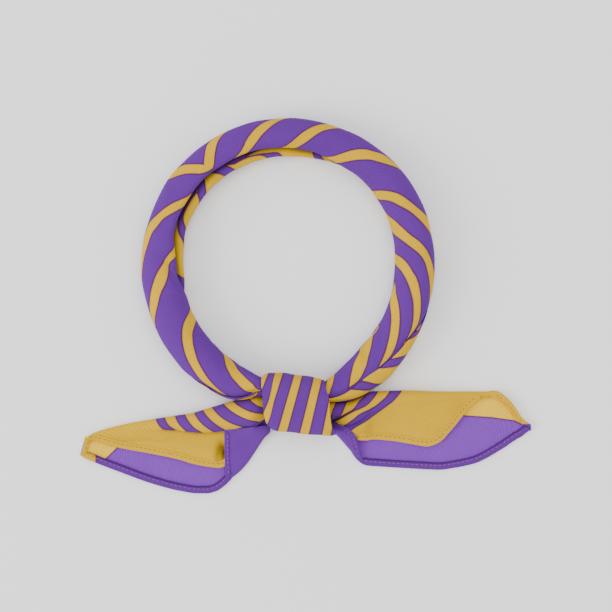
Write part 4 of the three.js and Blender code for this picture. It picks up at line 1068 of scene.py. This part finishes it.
def build_flap(side, trees):
    """The corner of cloth that is folded over a tail's lower edge. Gives its rows and a tree of it."""
    tail = TAILS[side]
    table = tail["flap"]
    at = np.linspace(0, 1, FLAP_STEPS)

    def side_line(column):
        x = tail["start"] + tail["length"] * read(table, column, at)
        return np.stack([x, KNOT_Y - TAIL_DROP * read(table, column + 1, at)], -1)

    free, fold = side_line(1), side_line(3)
    wide = np.linalg.norm(fold - free, axis=1)[:, None]
    t = np.linspace(0, 1, FLAP_COLUMNS)
    q = np.clip((t - FLAP_FLAT) / (1 - FLAP_FLAT), 0, 1)
    flat = t / FLAP_FLAT * (wide - FLAP_EDGE)
    turned = wide - FLAP_EDGE + FLAP_BULGE * np.sin(q * math.pi / 2)
    dist = np.where(t < FLAP_FLAT, flat, turned)
    rows = np.zeros((FLAP_STEPS, FLAP_COLUMNS, 3))
    rows[:, :, :2] = free[:, None, :] + (fold - free)[:, None, :] * (dist / wide)[..., None]
    below = np.array([[top_at(trees, x, y) for x, y, _ in row] for row in rows])
    top = draped(below) + 0.15 + THIN / 2
    fall = (1 - np.cos(q * math.pi / 2)) * read(table, 5, at)[:, None]
    z = mix(top, THIN / 2 + 0.05, fall) + 0.1 * np.sin(rows[:, :, 0] / 2.9 + rows[:, :, 1] / 5)
    rows[:, :, 2] = np.maximum(z, THIN / 2 + 0.02)
    used = rows if grid_normals(rows)[FLAP_STEPS // 2, FLAP_COLUMNS // 3, 2] > 0 else rows[::-1]
    name = side.capitalize()
    obj = build_strip(name + "_flap", used, VIOLET, THIN, side + "_flap", wrong=0.3)
    return rows, tree_of(obj)


# Materials.

def node(tree, kind, **values):
    """A new node with the stated settings."""
    n = tree.nodes.new(kind)
    for key, value in values.items():
        setattr(n, key, value)
    return n


def feed(tree, socket, value):
    """A socket's value: a number, a colour, or what another node gives."""
    if isinstance(value, (int, float)):
        socket.default_value = value
    elif isinstance(value, tuple):
        socket.default_value = (*value, 1.0)
    else:
        tree.links.new(value, socket)


def math_node(tree, operation, *values, clamp=False):
    """The result of a calculation."""
    n = node(tree, "ShaderNodeMath", operation=operation, use_clamp=clamp)
    for socket, value in zip(n.inputs, values):
        feed(tree, socket, value)
    return n.outputs[0]


def colour_mix(tree, factor, a, b, blend="MIX"):
    """A colour between two others."""
    n = node(tree, "ShaderNodeMix", data_type="RGBA", blend_type=blend)
    for k, value in ((0, factor), (6, a), (7, b)):
        feed(tree, n.inputs[k], value)
    return n.outputs[2]


def noise(tree, vector, scale, detail=2.0):
    """Soft noise over a space."""
    n = node(tree, "ShaderNodeTexNoise")
    n.inputs["Scale"].default_value = scale
    n.inputs["Detail"].default_value = detail
    tree.links.new(vector, n.inputs["Vector"])
    return n.outputs["Fac"]


def new_material(name, **settings):
    """A material, its node tree and its shader, with the stated settings."""
    mat = bpy.data.materials.new(name)
    mat.use_nodes = True
    shader = mat.node_tree.nodes["Principled BSDF"]
    for key, value in settings.items():
        feed(mat.node_tree, shader.inputs[key.replace("_", " ")], value)
    return mat, mat.node_tree, shader


PURPLE, GOLD, LINE = (0.118, 0.0255, 0.275), (0.68, 0.4, 0.009), (0.085, 0.014, 0.06)
PURPLE_PALE, GOLD_PALE = (0.205, 0.05, 0.46), (0.92, 0.56, 0.03)
THREADS = {"gold": (0.36, 0.15, 0.006), "violet": (0.3, 0.105, 0.24)}
FRAY, SHARPNESS = 0.22, 3.2  # how uneven the print's border is in millimetres, and how sharp
LINE_AT, LINE_SHARPNESS, LINE_STRENGTH = 0.2, 2.4, 0.9  # the dark line along the border
RIB_ALONG, RIB_ACROSS, CROSS_RIB = 5.3, 4.1, 9.0  # the twill's ribs, in radians for a millimetre
# how far the painted shade darkens the cloth's colour
PAINTED_SHADE_DARKENS = 0.9
CLOTH_ROUGHNESS = 0.78


def cloth_material(name):
    """Printed cotton: violet and gold by the distance of the print, a dark line along its border, the
    paler wrong side, painted shade, and a fine twill of uneven threads."""
    mat, tree, shader = new_material(name, Specular_IOR_Level=0.06, Sheen_Weight=0.015, Sheen_Roughness=0.5)

    def attribute(key, output="Fac"):
        return node(tree, "ShaderNodeAttribute", attribute_name=key).outputs[output]

    def calc(operation, *values, clamp=False):
        return math_node(tree, operation, *values, clamp=clamp)

    wrong, cloth = attribute("wrong_side"), attribute("cloth_mm", "Vector")
    uneven = calc("MULTIPLY_ADD", noise(tree, cloth, 0.9, 3.0), FRAY, -FRAY / 2)
    distance = calc("ADD", attribute("print_mm"), uneven)
    golden = calc("MULTIPLY_ADD", distance, SHARPNESS, 0.5, clamp=True)
    violet, gold = colour_mix(tree, wrong, PURPLE, PURPLE_PALE), colour_mix(tree, wrong, GOLD, GOLD_PALE)
    base = colour_mix(tree, golden, violet, gold)
    line = calc("MULTIPLY", calc("ADD", distance, LINE_AT), LINE_SHARPNESS)
    line = calc("POWER", calc("ABSOLUTE", line), 2.0)
    line = calc("POWER", 2.718, calc("MULTIPLY", line, -1.0))
    base = colour_mix(tree, calc("MULTIPLY", line, LINE_STRENGTH), base, LINE)
    split = node(tree, "ShaderNodeSeparateXYZ")
    tree.links.new(cloth, split.inputs[0])
    u, v = split.outputs[0], split.outputs[1]
    stretch = node(tree, "ShaderNodeMapping")
    stretch.inputs["Scale"].default_value = (0.25, 2.6, 1.0)
    tree.links.new(cloth, stretch.inputs["Vector"])
    slub = noise(tree, stretch.outputs[0], 2.6)
    rib = calc("MULTIPLY_ADD", u, RIB_ALONG, calc("MULTIPLY", v, RIB_ACROSS))
    rib = calc("SINE", calc("MULTIPLY_ADD", slub, 2.2, rib))
    cross = calc("SINE", calc("MULTIPLY", calc("SUBTRACT", u, v), CROSS_RIB))
    weave = calc("MULTIPLY_ADD", cross, 0.35, rib)
    tone = calc("MULTIPLY_ADD", weave, calc("MULTIPLY_ADD", wrong, -0.07, 0.12), 1.0)
    # painted shade: the colour is darkened by the painted shade attribute
    tone = calc("MULTIPLY", tone, calc("MULTIPLY_ADD", attribute("painted_shade"), -PAINTED_SHADE_DARKENS, 1.0))
    large = noise(tree, cloth, 0.07, 4.0)
    tone = calc("MULTIPLY", tone, calc("MULTIPLY_ADD", large, 0.16, 0.92))
    tone = calc("MULTIPLY", tone, calc("MULTIPLY_ADD", slub, 0.12, 0.94))
    grey = node(tree, "ShaderNodeCombineColor")
    for k in range(3):
        tree.links.new(tone, grey.inputs[k])
    feed(tree, shader.inputs["Base Color"], colour_mix(tree, 1.0, base, grey.outputs[0], "MULTIPLY"))
    feed(tree, shader.inputs["Roughness"], calc("MULTIPLY_ADD", large, 0.12, CLOTH_ROUGHNESS - 0.06))
    bump = node(tree, "ShaderNodeBump")
    bump.inputs["Strength"].default_value = 0.6
    bump.inputs["Distance"].default_value = 0.0002
    tree.links.new(weave, bump.inputs["Height"])
    tree.links.new(bump.outputs[0], shader.inputs["Normal"])
    return mat


def thread_material(name, colour):
    """Sewing thread, a little mottled."""
    mat, tree, shader = new_material(name, Roughness=0.6)
    coords = node(tree, "ShaderNodeTexCoord")
    mottle = noise(tree, coords.outputs["Object"], 900.0)
    dark = tuple(0.72 * c for c in colour)
    feed(tree, shader.inputs["Base Color"], colour_mix(tree, mottle, dark, colour))
    return mat


# Putting the pieces together.

def towards(rows, place):
    """Whether the grid's last column is nearer to a place in the view from above than its first one."""
    first, last = (np.linalg.norm(rows[:, k, :2].mean(0) - place) for k in (0, -1))
    return last < first


def hem_on(name, trees, line, inner, paint, node_name, kind):
    """A hem with its stitches, on the side of the line that faces the inner place."""
    lift, thickness = kind["lift"], kind["thickness"]
    rows = strip_rows(trees, line, lift, thickness)
    if not towards(rows, inner):
        rows = strip_rows(trees, line[::-1], lift, thickness)
    if grid_normals(rows)[len(rows) // 2, MIDDLE_COLUMN, 2] < 0:
        rows = rows[::-1]
    seam = rows[3:-3, SEAM_COLUMN] + np.array([0, 0, thickness / 2])
    thread = stitches(name + "_stitches", seam, kind["thread"])
    rim = kind["rim"]
    return build_strip(name + "_hem", rows, paint, thickness, node_name, rim=rim)


def with_width(line, width):
    """The line with the same width at each of its places."""
    return np.column_stack([line, np.full(len(line), width)])


def corner_paint(plan):
    """Violet, and gold beyond the colour's end at the tip."""
    past = PIXEL * (HEM_GOLD_END - RING_PIXEL[0]) - plan[:, 0]
    return np.clip(past, VIOLET, GOLDEN)


def build_tail_pieces(side):
    """A tail with its hems and its flap."""
    name, on = side.capitalize(), side.capitalize() + "_tail"
    data, tail = build_tail(side), TAILS[side]
    trees = [data["tree"]]
    inner = np.array([tail["start"] + tail["length"] * 0.45, KNOT_Y - TAIL_DROP * 0.3])
    for which, node_name, low, high in HEM_SPANS[side]:
        line = resample(edge_line(data["shape"], which, low, high, 0.05), HEM_STEP)
        if which == "front":
            hem_on(name + "_front", trees, line, inner + (0, 30), GOLDEN, node_name, FRONT_HEM)
        else:
            paint = corner_paint if side == "left" else VIOLET
            obj = hem_on(name + "_back", trees, line, inner + (0, 60), paint, node_name, BACK_HEM)
            trees.append(tree_of(obj))
    if side == "left":
        end = data["rows"][-2][data["place"] <= 2.4]
        line = with_width(resample(end[:, :2], 0.5), LEFT_TIP_HEM)
    else:
        line = resample(edge_line(data["shape"], "fold", 0.808, 0.978, -0.3, RIGHT_TIP_HEM), HEM_STEP)
    hem_on(name + "_tip", trees, line, inner, GOLDEN, side + "_tip_hem", TIP_HEM)
    rows, tree = build_flap(side, trees)
    line = with_width(resample(rows[3:, 0, :2], HEM_STEP), FLAP_HEM)
    folded = rows[:, -1, :2].mean(0)
    hem_on(name + "_flap", [tree], line, folded, VIOLET, side + "_flap_hem", CORNER_HEM)


build_roll()
build_band()
for side in TAILS:
    build_tail_pieces(side)
cloth = cloth_material("Printed_twill")
thread_look = {key: thread_material(key.capitalize() + "_thread", colour) for key, colour in THREADS.items()}
for obj in list(bpy.context.scene.objects):
    if obj.type != "MESH" or "print_mm" not in obj.data.attributes:
        continue
    if "thread" in obj:
        obj.data.materials.append(thread_look[obj["thread"]])
    else:
        obj.data.materials.append(cloth)
    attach(obj, "root")


# The set.

FLOOR_HALF = 3.0  # in metres, as the lights and the camera are


def build_floor():
    """A plain pale floor."""
    h = FLOOR_HALF
    mesh = bpy.data.meshes.new("Floor")
    mesh.from_pydata([(-h, -h, 0), (h, -h, 0), (h, h, 0), (-h, h, 0)], [], [(0, 1, 2, 3)])
    paper = new_material("Paper", Base_Color=(0.97, 0.97, 0.97), Roughness=0.9, Specular_IOR_Level=0.1)[0]
    mesh.materials.append(paper)
    obj = bpy.data.objects.new("floor", mesh)
    bpy.context.scene.collection.objects.link(obj)
    return obj


def area_light(name, place, size, watts):
    """A round soft light that looks at the origin."""
    data = bpy.data.lights.new(name, "AREA")
    data.shape = "DISK"
    data.size = size
    data.energy = watts
    obj = bpy.data.objects.new(name, data)
    obj.location = place
    obj.rotation_euler = (-Vector(place)).to_track_quat("-Z", "Y").to_euler()
    bpy.context.scene.collection.objects.link(obj)
    return obj


def light_world(strength):
    """Even white light from all sides."""
    world = bpy.context.scene.world or bpy.data.worlds.new("World")
    bpy.context.scene.world = world
    world.use_nodes = True
    background = world.node_tree.nodes["Background"]
    background.inputs["Color"].default_value = (1, 1, 1, 1)
    background.inputs["Strength"].default_value = strength


def add_camera(place, lens):
    """A camera that looks straight down, as in the photograph."""
    camera = bpy.data.cameras.new("Camera")
    camera.lens = lens
    camera.sensor_width = 36
    obj = bpy.data.objects.new("Camera", camera)
    obj.location = place
    obj.rotation_euler = (0, 0, 0)
    bpy.context.scene.collection.objects.link(obj)
    bpy.context.scene.camera = obj


floor = build_floor()
key = area_light("Key", place=(-1.7, -0.5, 0.95), size=1.1, watts=28)
fill = area_light("Fill", place=(0.3, 0.5, 1.9), size=1.6, watts=14)
light_world(1.2)
add_camera((EYE + SHIFT) * 0.001, lens=100)
